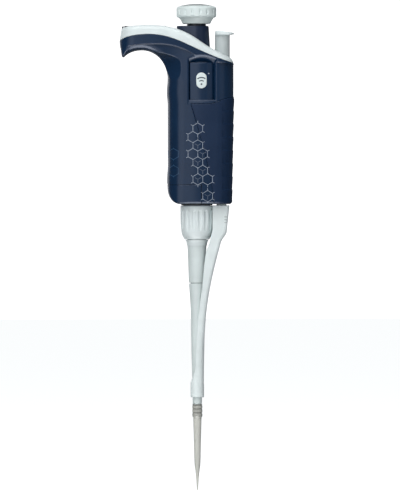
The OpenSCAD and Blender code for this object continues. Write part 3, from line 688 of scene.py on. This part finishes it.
def grip(x, y, z):
    """The soft grip, which stands a little proud of the shells."""
    outer = envelope(x, y, z, GRIP_PROUD) + rib_relief(x, z)
    zone = outline_distance(GRIP_SIDE, x, z) + 0.06
    body = rounded_max(rounded_max(outer, z - GRIP_FRONT_Z + 0.06, 0.7), zone, 0.12)
    body = cut(body, recess(x, y, z), 0.3)
    body = np.maximum(body, -(envelope(x, y, z) + GRIP_T))
    return cut(body, passages(x, y, z), 0.3)


def cover(x, y, z):
    """The pale cover over the hook and the shoulder."""
    crest = outline_distance(BELOW_CREST, x, z) + 0.5 * (y / HALF_HOOK) ** 2
    lean = 0.13 * np.maximum(z - 262, 0) * smoothstep(-30, -44, x)
    plan = rounded_box(x - lean, np.abs(y) + hook_bow(x), HOOK_X, SHELL_FRONT_X, HALF_HOOK, HOOK_END_R)
    seam = outline_distance(BELOW_SEAM, x, z)
    edge_r = 2.6 - 1.4 * smoothstep(-38, -44, x)
    body = rounded_max(rounded_max(crest, plan, edge_r), SEAM_GAP - seam, 0.25)
    body = cut(body, np.maximum(crest + COVER_T, plan + COVER_T), 0.2)
    body = cut(body, collar_plan(x, y, z) - 0.15, 0.3)
    body = cut(body, np.hypot(x - EJECTOR_X, y) - POST_R - 0.35, 0.3)
    body = cut(body, rounded_box(x, y, *LENS_X, LENS_HALF + 0.1, 2.1), 0.2)
    for key_x, key_y in KEY_SPOTS:
        body = cut(body, rounded_box(x - key_x, y - key_y, -3, 3, 2.95, 2.4), 0.2)
    return body


def collar_plan(x, y, z):
    """The collar round the plunger, which stretches towards the hook as it rises."""
    t = np.clip((z - COLLAR_LOW_Z) / (COLLAR_TOP_Z - COLLAR_LOW_Z), 0, 1)
    r1, r2, reach = COLLAR_FRONT_R - 1.1 * t, COLLAR_FRONT_R - 2.9 * t, COLLAR_REACH * t + 1e-3
    lean = np.minimum((r1 - r2) / reach, 0.999)
    side = np.sqrt(1 - lean * lean)
    across, along = np.abs(y) + 0 * x, -x + 0 * y
    turn = -lean * across + side * along
    near = np.hypot(across, along) - r1
    far = np.hypot(across, along - reach) - r2
    flank = side * across + lean * along - r1
    return np.where(turn < 0, near, np.where(turn > side * reach, far, flank))


def collar(x, y, z):
    """The dark collar under the knob, with the bore for its stem."""
    body = rounded_max(collar_plan(x, y, z), z - COLLAR_TOP_Z, 0.6)
    body = np.maximum(body, 0.1 - outline_distance(BELOW_SEAM, x, z))
    bore = np.maximum(np.hypot(x, y) - 5.8, 264.2 - z)
    rod = np.hypot(x, y) - 1.8
    return cut(body, np.minimum(bore, rod), 0.3)


def panel_front(x, y):
    """The side panels' front: bowed in the middle, with a slanted flank on each side."""
    out = np.abs(y) - PANEL_FACE
    bow = np.hypot(x - PANEL_X, out + PANEL_BOW_R) - PANEL_BOW_R
    left = out * 0.94 - (x + 0.5) * 0.34
    right = out * 0.87 + (x - 6.5) * 0.5
    return rounded_max(rounded_max(bow, left, 0.4), right, 0.8)


def side_panel(x, y, z):
    """The upright panel in a pocket."""
    up = np.maximum(z - PANEL_TOP_Z, RECESS_LOW_Z - 0.7 - z)
    ends = np.maximum(slab(x, RECESS_X[0] + 0.1, RECESS_X[1] - 0.1), up)
    return np.maximum(rounded_max(panel_front(x, y), ends, 0.5), RECESS_Y + 0.05 - np.abs(y))


def badge_face(x, y, z):
    """The plane of the badge's face, for the badge and its printed sign."""
    return panel_front(x, y) - BADGE_PROUD + 0 * z


def badge(x, y, z):
    """The rounded badge, which follows the near panel's curve."""
    pill = np.hypot(x - BADGE_X, np.maximum(np.abs(z - BADGE_Z) - BADGE_R / 2, 0)) - BADGE_R
    face = badge_face(x, y, z)
    return np.maximum(rounded_max(face, pill, 0.12), np.maximum(-face - BADGE_PROUD + 0.03, y))


navy = MATERIALS["handle_plastic"]
HALF_REACH = HALF_HOOK + 0.2
TOP = TOP_Z + 0.2

near = solid("shell_near", near_shell, (HOOK_X, -HALF_REACH, BASE_Z), (SHELL_FRONT_X, 0, 268.2))
place(near, "handle", navy, "handle_plastic", "handle_shell_near")
far = solid("shell_far", far_shell, (HOOK_X, 0, BASE_Z), (SHELL_FRONT_X, HALF_REACH, 268.2))
place(far, "handle", navy, "handle_plastic", "handle_shell_far")
cap = solid("cap_lower", lower_cap, CAP_LOW, CAP_HIGH)
place(cap, "handle", navy, "handle_plastic", "lower_cap")
grip_piece = solid("grip_soft", grip, GRIP_LOW - 0.4, GRIP_HIGH + (0.4, 0.4, 2), 0.32, 0.4)
place(grip_piece, "handle", MATERIALS["grip_rubber"], "grip_rubber", "grip_panel")
cover_piece = solid("cover_pale", cover, (HOOK_X, -HALF_REACH, 250.6), (SHELL_FRONT_X, HALF_REACH, TOP))
place(cover_piece, "handle", MATERIALS["pale_plastic"], "pale_plastic", "top_cover")
collar_piece = solid("collar_plunger", collar, (-12, -8.6, 255), (8.6, 8.6, COLLAR_TOP_Z), 0.35)
place(collar_piece, "handle", MATERIALS["collar_plastic"], "collar_plastic", "plunger_collar")


def near_panel(x, y, z):
    return np.maximum(side_panel(x, y, z), y)


def far_panel(x, y, z):
    return np.maximum(side_panel(x, y, z), -y)


PANEL_LOW_Z = RECESS_LOW_Z - 0.8
piece = solid("panel_near", near_panel, (RECESS_X[0], -15, PANEL_LOW_Z), (RECESS_X[1], -10, 252), 0.35)
place(piece, "handle", navy, "handle_plastic", "side_panel_near")
piece = solid("panel_far", far_panel, (RECESS_X[0], 10, PANEL_LOW_Z), (RECESS_X[1], 15, 252), 0.35)
place(piece, "handle", navy, "handle_plastic", "side_panel_far")
piece = solid("badge_pill", badge, (-0.5, -15, BADGE_Z - 5), (6.3, -12.5, BADGE_Z + 5), 0.16, 0.6)
place(piece, "handle", MATERIALS["badge_plastic"], "badge_plastic", "wireless_badge")


# ---- Controls ----

KNOB_SIDE = np.vstack([
    [[-5, KNOB_Z], [7.9, KNOB_Z], [8.4, KNOB_Z + 0.4]],
    curve([8.4, KNOB_Z + 0.4], [8.7, 275.7], [9.5, 276.9], [10.3, 277.8]),
    curve([10.3, 277.8], [KNOB_R - 0.3, 278.0], [KNOB_R, 278.4], [KNOB_R, 279.2]),
    curve([KNOB_R, 283.0], [KNOB_R, 284], [KNOB_R - 0.8, 284.4], [9.7, 284.7]),
    [[9.7, 284.7], [9.55, 284.05], [-5, 284.05]],
])


def knob(x, y, z):
    """The plunger's knob, fluted on its rim and its skirt."""
    body = turned(KNOB_SIDE, x, y, z)
    body = cut(body, flute_rods(x, y, z, KNOB_R + 0.15, 0.72, 280.2, 281.7), 0.12)
    skirt = flute_rods(x, y, z, KNOB_R + 0.6, 1.5, 275.6, 277.6)
    body = cut(body, skirt, 0.15)
    shaft = np.hypot(x, y) - KNOB_SHAFT_R
    head = np.maximum(np.hypot(x, y) - KNOB_HEAD_R, 280.9 - z)
    return cut(body, np.minimum(shaft, head), 0.2)


piece = solid("knob_fluted", knob, (-KNOB_R, -KNOB_R, KNOB_Z), (KNOB_R, KNOB_R, 284.8), 0.24, 0.5)
place(piece, "knob", MATERIALS["knob_plastic"], "knob_plastic", "plunger_knob")

PLATE_SIDE = np.vstack([
    [[10.8, 267.6], [19.6, 267.6]],
    curve([19.6, 267.6], [20.2, 268], [21.2, 268], [22.1, 268]),
    [[22.1, 268]],
    curve([22.1, 268.7], [19, 269.4], [15.6, 270.1], [11.4, 270]),
    [[11.4, 270], [10.8, 269.4]],
])


def button(x, y, z):
    """The ejector's plate on its round post."""
    r = np.hypot(x - EJECTOR_X, y)
    post = np.maximum(r - POST_R, slab(z, 250, 268))
    plan = rounded_box(x, y, 10.8, 22.2, 6.5, 4.2)
    plate = rounded_max(outline_distance(PLATE_SIDE, x, z), plan, 0.3)
    body = rounded_min(post, plate, 0.25)
    return cut(body, np.maximum(r - 1.2, z - 262), 0.1)


piece = solid("button_ejector", button, (10.7, -6.6, 250), (22.3, 6.6, 270.1), 0.3, 0.5)
place(piece, "ejector", SHADED_BUTTON_PLASTIC, "pale_plastic", "ejector_button")


def key_field(centre):
    """The field of one key's rubber cap."""
    def key(x, y, z):
        plan = rounded_box(x - centre[0], y - centre[1], -2.85, 2.85, 2.8, 2.3)
        top = z - 272.8 + 0.03 * (y - centre[1]) ** 2
        stem = rounded_max(plan, np.maximum(top, 269.9 - z), 0.5)
        foot = np.maximum(plan - 0.35, slab(z, 269.9, 270.4))
        return np.minimum(stem, foot)
    return key


for name in ("key_left", "key_enter", "key_right"):
    centre = middle(name)
    low = (centre[0] - 3.4, centre[1] - 3.4, 269.9)
    high = (centre[0] + 3.4, centre[1] + 3.4, 272.9)
    piece = solid("cap_" + name, key_field(centre), low, high, 0.2, 0.5)
    place(piece, name, MATERIALS["key_rubber"], "key_rubber", name)


# ---- Lower end ----

NUT_SIDE = np.vstack([
    [[6.1, NUT_LOW_Z], [7.4, NUT_LOW_Z], [7.6, NUT_LOW_Z + 0.2], [7.6, NUT_LOW_Z + 0.7]],
    curve([7.6, NUT_LOW_Z + 0.7], [8.6, 149.4], [9.0, 150.6], [9.25, 152.6]),
    curve([9.2, 152.6], [9.6, 155.5], [NUT_R, 157], [NUT_R, 160]),
    [[NUT_R, NUT_TOP_Z - 0.5], [NUT_R - 0.4, NUT_TOP_Z], [8.15, NUT_TOP_Z], [8.15, 151.6], [6.1, 151.6]],
])


def nut(x, y, z):
    """The fluted nut that holds the lower end on."""
    flutes = flute_rods(x, y, z, NUT_R + 0.75, 1.4, 152.9, 163.4)
    return cut(turned(NUT_SIDE, x, y, z), flutes, 0.15)


piece = solid("nut_fluted", nut, (-NUT_R, -NUT_R, NUT_LOW_Z), (NUT_R, NUT_R, NUT_TOP_Z), 0.26, 0.5)
place(piece, "nut", MATERIALS["pale_plastic"], "pale_plastic", "connecting_nut")

ARM_END_R = 3.97
ARM_END_Z = (54.6, 62.6)
ARM_BACK = np.vstack([
    [[19.3, 167.4]],
    curve([17.6, 151.6], [16.8, 149], [14.9, 148], [14.2, 145.6]),
    curve([14.2, 145.6], [10.6, 132], [4.6, 112], [4.3, 84]),
    curve([4.3, 84], [4.1, 76], [ARM_END_R, 70], [ARM_END_R, 63]),
    [[ARM_END_R, ARM_END_Z[0]], [-ARM_END_R, ARM_END_Z[0]]],
])
ARM_OPEN = np.vstack([
    curve([-ARM_END_R, ARM_END_Z[1]], [-3.6, 65], [-1.2, 68], [-0.9, 74]),
    curve([-0.9, 74], [-0.6, 88], [0.4, 104], [3, 119]),
    curve([3, 119], [3.8, 127], [4.4, 135], [5.4, 140]),
    [[5.4, 140], [7.5, 146.3], [9.2, 153], [9.2, 167.4]],
])
ARM_SIDE = np.vstack([ARM_BACK, ARM_OPEN])
ARM_BEFORE_BACK = np.vstack([[[-40, 40], [-40, 200], [19.3, 200]], ARM_BACK, [[ARM_END_R, 40]]])
ARM_T = 1.3
ARM_INNER = np.vstack([ARM_BACK - [ARM_T, 0], ARM_OPEN - [12, 0]])
ARM_HALF_W = np.array([
    [7.4, 167.4], [7.4, 150], [6.6, 122], [4.9, 104], [4.2, 80], [3.97, 64], [3.97, 50],
])
ARM_CLEAR = np.array([
    [-5, 40], [3.1, 40], [3.1, 62.6], [3.25, 66], [3.6, 75], [3.85, 95], [4.1, 106], [5.4, 117],
    [5.5, 122], [6.3, 139], [7.2, 139], [7.2, 144.8], [10.1, 144.8], [10.1, 200], [-5, 200],
])
NECK_X = (11.6, 17.4)


def arm(x, y, z):
    """The ejector arm: a channel round the barrel that ends in a collar round the tip cone."""
    back = outline_distance(ARM_BEFORE_BACK, x, z)
    half = np.interp(z, ARM_HALF_W[::-1, 1], ARM_HALF_W[::-1, 0])
    width = np.abs(y) - half
    bend = 3.9 - 1.7 * smoothstep(70, 112, z)
    body = rounded_max(rounded_max(back, width, bend), outline_distance(ARM_SIDE, x, z), 0.3)
    body = np.maximum(body, np.hypot(x, y) - ARM_END_R - 17 * (np.clip(z - 62, 0, 60) / 60) ** 2)
    neck = np.maximum(rounded_box(x, y, *NECK_X, 4, 1), slab(z, 160, 180))
    body = np.minimum(body, neck)
    body = cut(body, turned(ARM_CLEAR, x, y, z), 0.2)
    channel = rounded_max(outline_distance(ARM_INNER, x, z), width + ARM_T, 2)
    body = cut(body, np.maximum(channel, slab(z, 66, 150)), 0.2)
    r = np.hypot(x, y)
    bore = 2.92 + 0.18 * (z - ARM_END_Z[0]) / 8
    ring = rounded_max(rounded_max(r - ARM_END_R, bore - r, 0.2), slab(z, *ARM_END_Z), 0.25)
    body = np.minimum(body, ring)
    body = np.maximum(body, bore - r - (z > 66) * 9)
    return cut(body, np.maximum(np.hypot(x - EJECTOR_X, y) - 1.2, 177 - z), 0.1)


piece = solid("arm_ejector", arm, (-4.1, -7.5, 54.5), (19.5, 7.5, 180), 0.36, 0.5)
place(piece, "ejector", MATERIALS["arm_plastic"], "arm_plastic", "ejector_arm")


RING_SIDE = np.vstack([
    [[5.85, RING_LOW_Z]],
    curve([5.95, RING_LOW_Z], [6.0, 145.2], [6.2, 146.3], [6.95, RING_TOP_Z - 0.3], 8),
    [[6.95, RING_TOP_Z - 0.3], [6.8, RING_TOP_Z - 0.12], [5.85, RING_TOP_Z - 0.12]],
])
piece = lathe("ring_flared", RING_SIDE)
place(piece, "nut_ring", MATERIALS["pale_plastic"], "pale_plastic", "nut_ring")

BARREL_SIDE = np.vstack([
    [[3.95, 121.95], [4.6, 121.95]],
    curve([4.6, 121.95], [4.75, 121.95], [4.85, 122.05], [4.85, 122.3], 5),
    [[4.85, 122.3], [5.15, 131], [5.45, 140], [5.75, 147], [5.75, 151.6], [7.6, 151.6]],
    [[7.6, 154.5], [3.95, 154.5]],
])
piece = lathe("barrel_upper", BARREL_SIDE)
place(piece, "handle", MATERIALS["barrel_plastic"], "barrel_plastic", "barrel")

NOSE_SIDE = np.vstack([
    [[0.9, 44.2], [2.0, 44.2], [2.12, 44.35], [2.48, TIP_LEN + 0.3]],
    curve([2.68, TIP_LEN + 0.5], [2.74, TIP_LEN + 0.6], [2.76, 52], [2.78, 54], 6),
    [[2.78, 54], [2.95, 66], [3.3, 78]],
    curve([3.3, 78], [3.5, 85], [3.6, 94], [3.66, 100], 8),
    curve([3.66, 100], [3.8, 110], [4.3, 114], [4.76, 120.9], 16),
    curve([4.76, 120.9], [4.78, 121.4], [4.7, 121.5], [4.5, 121.5], 6),
    [[4.6, 121.5], [3.85, 121.5], [3.85, 125.4], [3.2, 125.4], [3.2, 115]],
    [[2.45, 115], [2.45, 69.5], [0.9, 69.5]],
])
piece = lathe("nose_tapered", NOSE_SIDE)
place(piece, "handle", MATERIALS["barrel_plastic"], "barrel_plastic", "nose_cone")


# ---- Springs ----

def spring(name, node, turns, wire_r):
    """A coil that fills its CAD node's box; both its ends stay put on the handle."""
    low, high = span(node)
    centre = (low + high) / 2
    mean_r = (high[0] - low[0]) / 2 - wire_r
    around = np.linspace(0, 2 * math.pi, 8, endpoint=False)
    t = np.linspace(0, 1, 26 * turns)
    angle = 2 * math.pi * turns * t
    rise = low[2] + wire_r + (high[2] - low[2] - 2 * wire_r) * (0.85 * t + 0.15 * smoothstep(0, 1, t))
    radius = mean_r + wire_r * np.cos(around)[None, :]
    points = np.stack([
        centre[0] + radius * np.cos(angle)[:, None],
        radius * np.sin(angle)[:, None],
        rise[:, None] + wire_r * np.sin(around)[None, :],
    ], axis=-1)
    n = len(around)
    faces = [[i * n + j, i * n + (j + 1) % n, (i + 1) * n + (j + 1) % n, (i + 1) * n + j]
             for i in range(len(t) - 1) for j in range(n)]
    end = (len(t) - 1) * n
    for a, b, c, d in ((0, 1, 2, 3), (0, 3, 4, 7), (4, 5, 6, 7)):
        faces += [[d, c, b, a], [end + a, end + b, end + c, end + d]]
    piece = mesh_object(name, points.reshape(-1, 3), faces)
    place(piece, "handle", MATERIALS["spring_steel"], "spring_steel", node)
    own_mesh(piece)


spring("coil_plunger", "plunger_spring", 4, 0.35)
spring("coil_ejector", "ejector_spring", 9, 0.3)
spring("coil_piston", "piston_spring", 7, 0.3)


# ---- Tip ----

TIP_OUT = np.vstack([
    [[0.42, 0], [0.6, 3.8], [0.8, 7.6]],
    curve([0.8, 7.6], [1.1, 10.2], [1.4, 12.6], [1.7, 14.6], 8),
    curve([1.7, 14.6], [1.85, 16], [1.95, 22], [2.1, 30], 10),
    curve([2.1, 30], [2.25, 35], [2.4, 39], [2.5, 42.6], 8),
    [[2.5, 42.6], [MOUTH_R - 0.3, 43.1], [MOUTH_R - 0.12, 43.4]],
])
TIP_RINGS = np.vstack([
    [[MOUTH_R, z], [MOUTH_R, z + RING_H], [MOUTH_R - 0.28, z + 1.6], [MOUTH_R - 0.28, z + 2.1]]
    for z in RING_Z
] + [[[MOUTH_R, 50.2], [MOUTH_R, TIP_LEN - 0.12], [MOUTH_R - 0.12, TIP_LEN]]])
TIP_IN = np.array([
    [2.57, TIP_LEN], [2.2, 44.1], [2, 43], [1.6, 30], [1.3, 17], [1.1, 14],
    [0.45, 7.6], [0.22, 0.5], [0.22, 0],
])
piece = lathe("tip_disposable", np.vstack([TIP_OUT, TIP_RINGS, TIP_IN]))
place(piece, "tip", MATERIALS["tip_plastic"], "tip_plastic", "pipette_tip")


# ---- Printed pattern, marks and painted seam shadow ----

LINE_LIFT = 0.03


def surface_depth(field, x, z, side):
    """How far out along Y the field's surface is at points seen from one side."""
    inner, outer = np.full(x.shape, 7.0), np.full(x.shape, 17.0)
    for _ in range(24):
        y = (inner + outer) / 2
        out = field(x, side * y, z) > 0
        inner, outer = np.where(out, inner, y), np.where(out, y, outer)
    return side * (inner + outer) / 2


def surface_lines(name, lines, field, side, material, body="handle", steps=5):
    """Flat lines that lie on a surface, for print, small marks and the painted shadow along the cap's
    seams. Each is its two ends and its width.
    """
    points, faces = [], []
    for start, end, width in lines:
        start = np.array(start)
        along = np.array(end) - start
        across = np.array([-along[1], along[0]]) / np.linalg.norm(along) * width / 2
        for k in range(steps):
            at = start + along * k / (steps - 1)
            points += [at - across, at + across]
            if k:
                b = len(points) - 4
                faces.append([b, b + 1, b + 3, b + 2])
    flat = np.array(points)
    depth = surface_depth(field, flat[:, 0], flat[:, 1], side) + side * LINE_LIFT
    piece = mesh_object(name, np.column_stack([flat[:, 0], depth, flat[:, 1]]), faces)
    return place(piece, body, material, "badge_plastic")


CELL_R = 3.3
CELL_DX = CELL_R * math.sqrt(3) / 2
CELL_DZ = CELL_R * 1.5
COMB_X, COMB_Z = 3.5, 187.6
COMB_CELLS = [(1, -3), (1, -1), (-1, -1), (0, 0), (-1, 1), (-2, 2), (0, 2), (-1, 3), (-2, 4), (-1, 5)]
FAINT_CELLS = [(-6, 0), (-6, 2)]
SPOKED_CELLS = [(1, -3), (-1, -1), (0, 0), (-1, 1), (0, 2), (-1, 3)]


def cell_centre(cell):
    """The middle of a honeycomb cell, from its column and half-row."""
    return np.array([COMB_X + cell[0] * CELL_DX, COMB_Z + cell[1] * CELL_DZ])


def ray(k):
    """The unit direction from a cell's centre to its corner k."""
    return np.array([math.sin(math.radians(60 * k)), math.cos(math.radians(60 * k))])


def comb_lines(cells, width, stub=1.3):
    """The sides of some cells, each once, with a stub outwards where a corner has one cell only."""
    sides, corners = {}, {}
    for cell in cells:
        centre = cell_centre(cell)
        for k in range(6):
            a, b = centre + CELL_R * ray(k), centre + CELL_R * ray(k + 1)
            sides[tuple(np.round((a + b) / 2, 1))] = (a, b, width)
            corners.setdefault(tuple(np.round(a, 1)), []).append((a, ray(k)))
    stubs = [(at, at + stub * way, width) for found in corners.values() if len(found) == 1
             for at, way in found]
    dots = [(at - 0.3 * way, at + 0.3 * way, 0.6) for found in corners.values() if len(found) > 1
            for at, way in found[:1]]
    return list(sides.values()) + stubs + dots


def spoke_lines(cells, width):
    """Three short spokes from the middle of each cell."""
    return [(cell_centre(cell), cell_centre(cell) + 0.62 * CELL_R * ray(k), width)
            for cell in cells for k in (1, 3, 5)]


def outer_skin(x, y, z):
    """The handle's surface with its grip, for the print and the painted seam shadow to lie on."""
    on_grip = outline_distance(GRIP_SIDE, x, z)
    return np.where(on_grip < 0, envelope(x, y, z, GRIP_PROUD), envelope(x, y, z))


# Painted shadow: dark, dull ribbons along the lower cap's seams, where shade falls in the gap between
# cap and shell.
SEAM_SHADOW_PAINT = moulded("seam_shadow_paint", (0.0015, 0.006, 0.016), 0.8, Specular_IOR_Level=0.1)
CAP_LINES = [
    ((-15.5, CAP_SEAM_Z), (CAP_SEAM_X, CAP_SEAM_Z), 0.36),
    ((CAP_SEAM_X, CAP_SEAM_Z + 0.18), (CAP_SEAM_X, BASE_Z + 3), 0.36),
]
for side, tag in ((-1, "near"), (1, "far")):
    surface_lines("seam_shadow_line_" + tag, CAP_LINES, outer_skin, side, SEAM_SHADOW_PAINT)
    surface_lines("comb_" + tag, comb_lines(COMB_CELLS, 0.28), outer_skin, side, PRINT)
    surface_lines("comb_spokes_" + tag, spoke_lines(SPOKED_CELLS, 0.3), outer_skin, side, PRINT_DIM)
    surface_lines("comb_faint_" + tag, comb_lines(FAINT_CELLS, 0.3, 0.4), outer_skin, side, PRINT_FAINT)


def signal_lines():
    """A dot under two arcs, the plain sign for a wireless link."""
    base = np.array([BADGE_X, BADGE_Z - 2.2])
    lines = [(base - [0.45, 0], base + [0.45, 0], 0.9)]
    angles = np.radians(np.linspace(-38, 38, 9))
    for r in (2.1, 3.9):
        rim = [base + r * np.array([math.sin(a), math.cos(a)]) for a in angles]
        lines += [(a, b, 0.62) for a, b in zip(rim, rim[1:])]
    return lines


surface_lines("badge_sign", signal_lines(), badge_face, -1, MATERIALS["collar_plastic"])
status_dot = [((STATUS_X - 0.4, STATUS_Z), (STATUS_X + 0.4, STATUS_Z), 0.8)]
ARM_MARKS = [((16.1, z), (17.9, z), 0.45) for z in (160.6, 158.9, 157.2)]
surface_lines("arm_marks", ARM_MARKS, arm, -1, MATERIALS["knob_cap_plastic"], "ejector")
surface_lines("status_dot", status_dot, lambda x, y, z: panel_front(x, y) + 0 * z, -1, PRINT)


# ---- Stage, light and camera ----

def glowing(name, colour, strength):
    """A plain material that gives off some light of its own."""
    material = bpy.data.materials.new(name)
    material.use_nodes = True
    shader = material.node_tree.nodes["Principled BSDF"]
    shader.inputs["Base Color"].default_value = (*colour, 1)
    shader.inputs["Roughness"].default_value = 0.9
    shader.inputs["Emission Color"].default_value = (*colour, 1)
    shader.inputs["Emission Strength"].default_value = strength
    return material


FLOOR_Z = -0.02
STAGE_R = 12
bpy.ops.mesh.primitive_circle_add(vertices=96, radius=STAGE_R, fill_type="NGON",
                                  location=(0, 0, FLOOR_Z))
floor = bpy.context.object
floor.name = "floor"
floor.data.materials.append(glowing("floor_white", (0.96, 0.97, 0.97), 0.9))
for way in ("visible_diffuse", "visible_glossy", "visible_transmission", "visible_shadow"):
    setattr(floor, way, False)
bpy.ops.mesh.primitive_uv_sphere_add(segments=48, ring_count=24, radius=STAGE_R,
                                     location=(0, 0, 0))
backdrop = bpy.context.object
backdrop.name = "backdrop"
backdrop.data.materials.append(glowing("backdrop_white", (1, 1, 1), 1.2))
for way in ("visible_diffuse", "visible_glossy", "visible_shadow"):
    setattr(backdrop, way, False)

world = bpy.data.worlds.new("studio")
bpy.context.scene.world = world
world.use_nodes = True
world.node_tree.nodes["Background"].inputs["Color"].default_value = (0.85, 0.93, 1.0, 1)
world.node_tree.nodes["Background"].inputs["Strength"].default_value = 0.12

CENTRE = Vector((0, 0, 0.15))


def softbox(name, azimuth, elevation, away, size, radiance, mirrored=True, lights=True):
    """A rectangular light that faces the object, seen in its gloss, lighting it, or both.

    Azimuth 0 is in front, on the near side.
    """
    a, e = math.radians(azimuth), math.radians(elevation)
    outward = Vector((math.sin(a) * math.cos(e), -math.cos(a) * math.cos(e), math.sin(e)))
    data = bpy.data.lights.new(name, "AREA")
    data.shape = "RECTANGLE"
    data.size, data.size_y = size
    data.energy = radiance * math.pi * size[0] * size[1]
    lamp = bpy.data.objects.new(name, data)
    bpy.context.scene.collection.objects.link(lamp)
    lamp.location = CENTRE + outward * away
    lamp.rotation_mode = "QUATERNION"
    lamp.rotation_quaternion = (-outward).to_track_quat("-Z", "Y")
    lamp.visible_camera = False
    lamp.visible_glossy = mirrored
    lamp.visible_diffuse = lights


softbox("softbox_left", -28, 0, 1.4, (1.08, 1.8), 1.05)
softbox("softbox_front", 8, 0, 2.2, (0.9, 1.6), 0.2)
softbox("softbox_right", 42, 0, 1.5, (0.9, 1.6), 0.35)
softbox("softbox_top", -10, 72, 1.6, (1.4, 1.4), 2.0)
softbox("softbox_key", -20, 40, 1.7, (1.4, 1.2), 2.3)
softbox("softbox_low", -12, -55, 1.5, (1.6, 1.4), 0.85)
softbox("rim_low", -15, -68, 1.2, (1.3, 1.0), 5.0, lights=False)
softbox("rim_back", -145, 0, 1.6, (1.3, 1.6), 1.1, lights=False)
softbox("fill_low", -15, -15, 1.6, (1.2, 0.8), 1.0, mirrored=False)
softbox("fill_right", 78, 0, 1.6, (0.9, 1.6), 0.7, mirrored=False)

camera_data = bpy.data.cameras.new("camera")
camera = bpy.data.objects.new("camera", camera_data)
bpy.context.scene.collection.objects.link(camera)
VIEW_X, VIEW_Z, VIEW_AWAY, VIEW_HEIGHT = 1.8 * MM, 141.2 * MM, 4.0, 294.1 * MM
VIEW_ROLL = math.radians(0.13)
camera_data.sensor_width = 36
camera_data.lens = camera_data.sensor_width * VIEW_AWAY / VIEW_HEIGHT
camera_data.clip_start = 0.05
camera_data.clip_end = 40
camera.location = (VIEW_X, -VIEW_AWAY, VIEW_Z)
camera.rotation_euler = (math.pi / 2, VIEW_ROLL, 0)
scene = bpy.context.scene
scene.camera = camera
scene.view_settings.view_transform = "Standard"
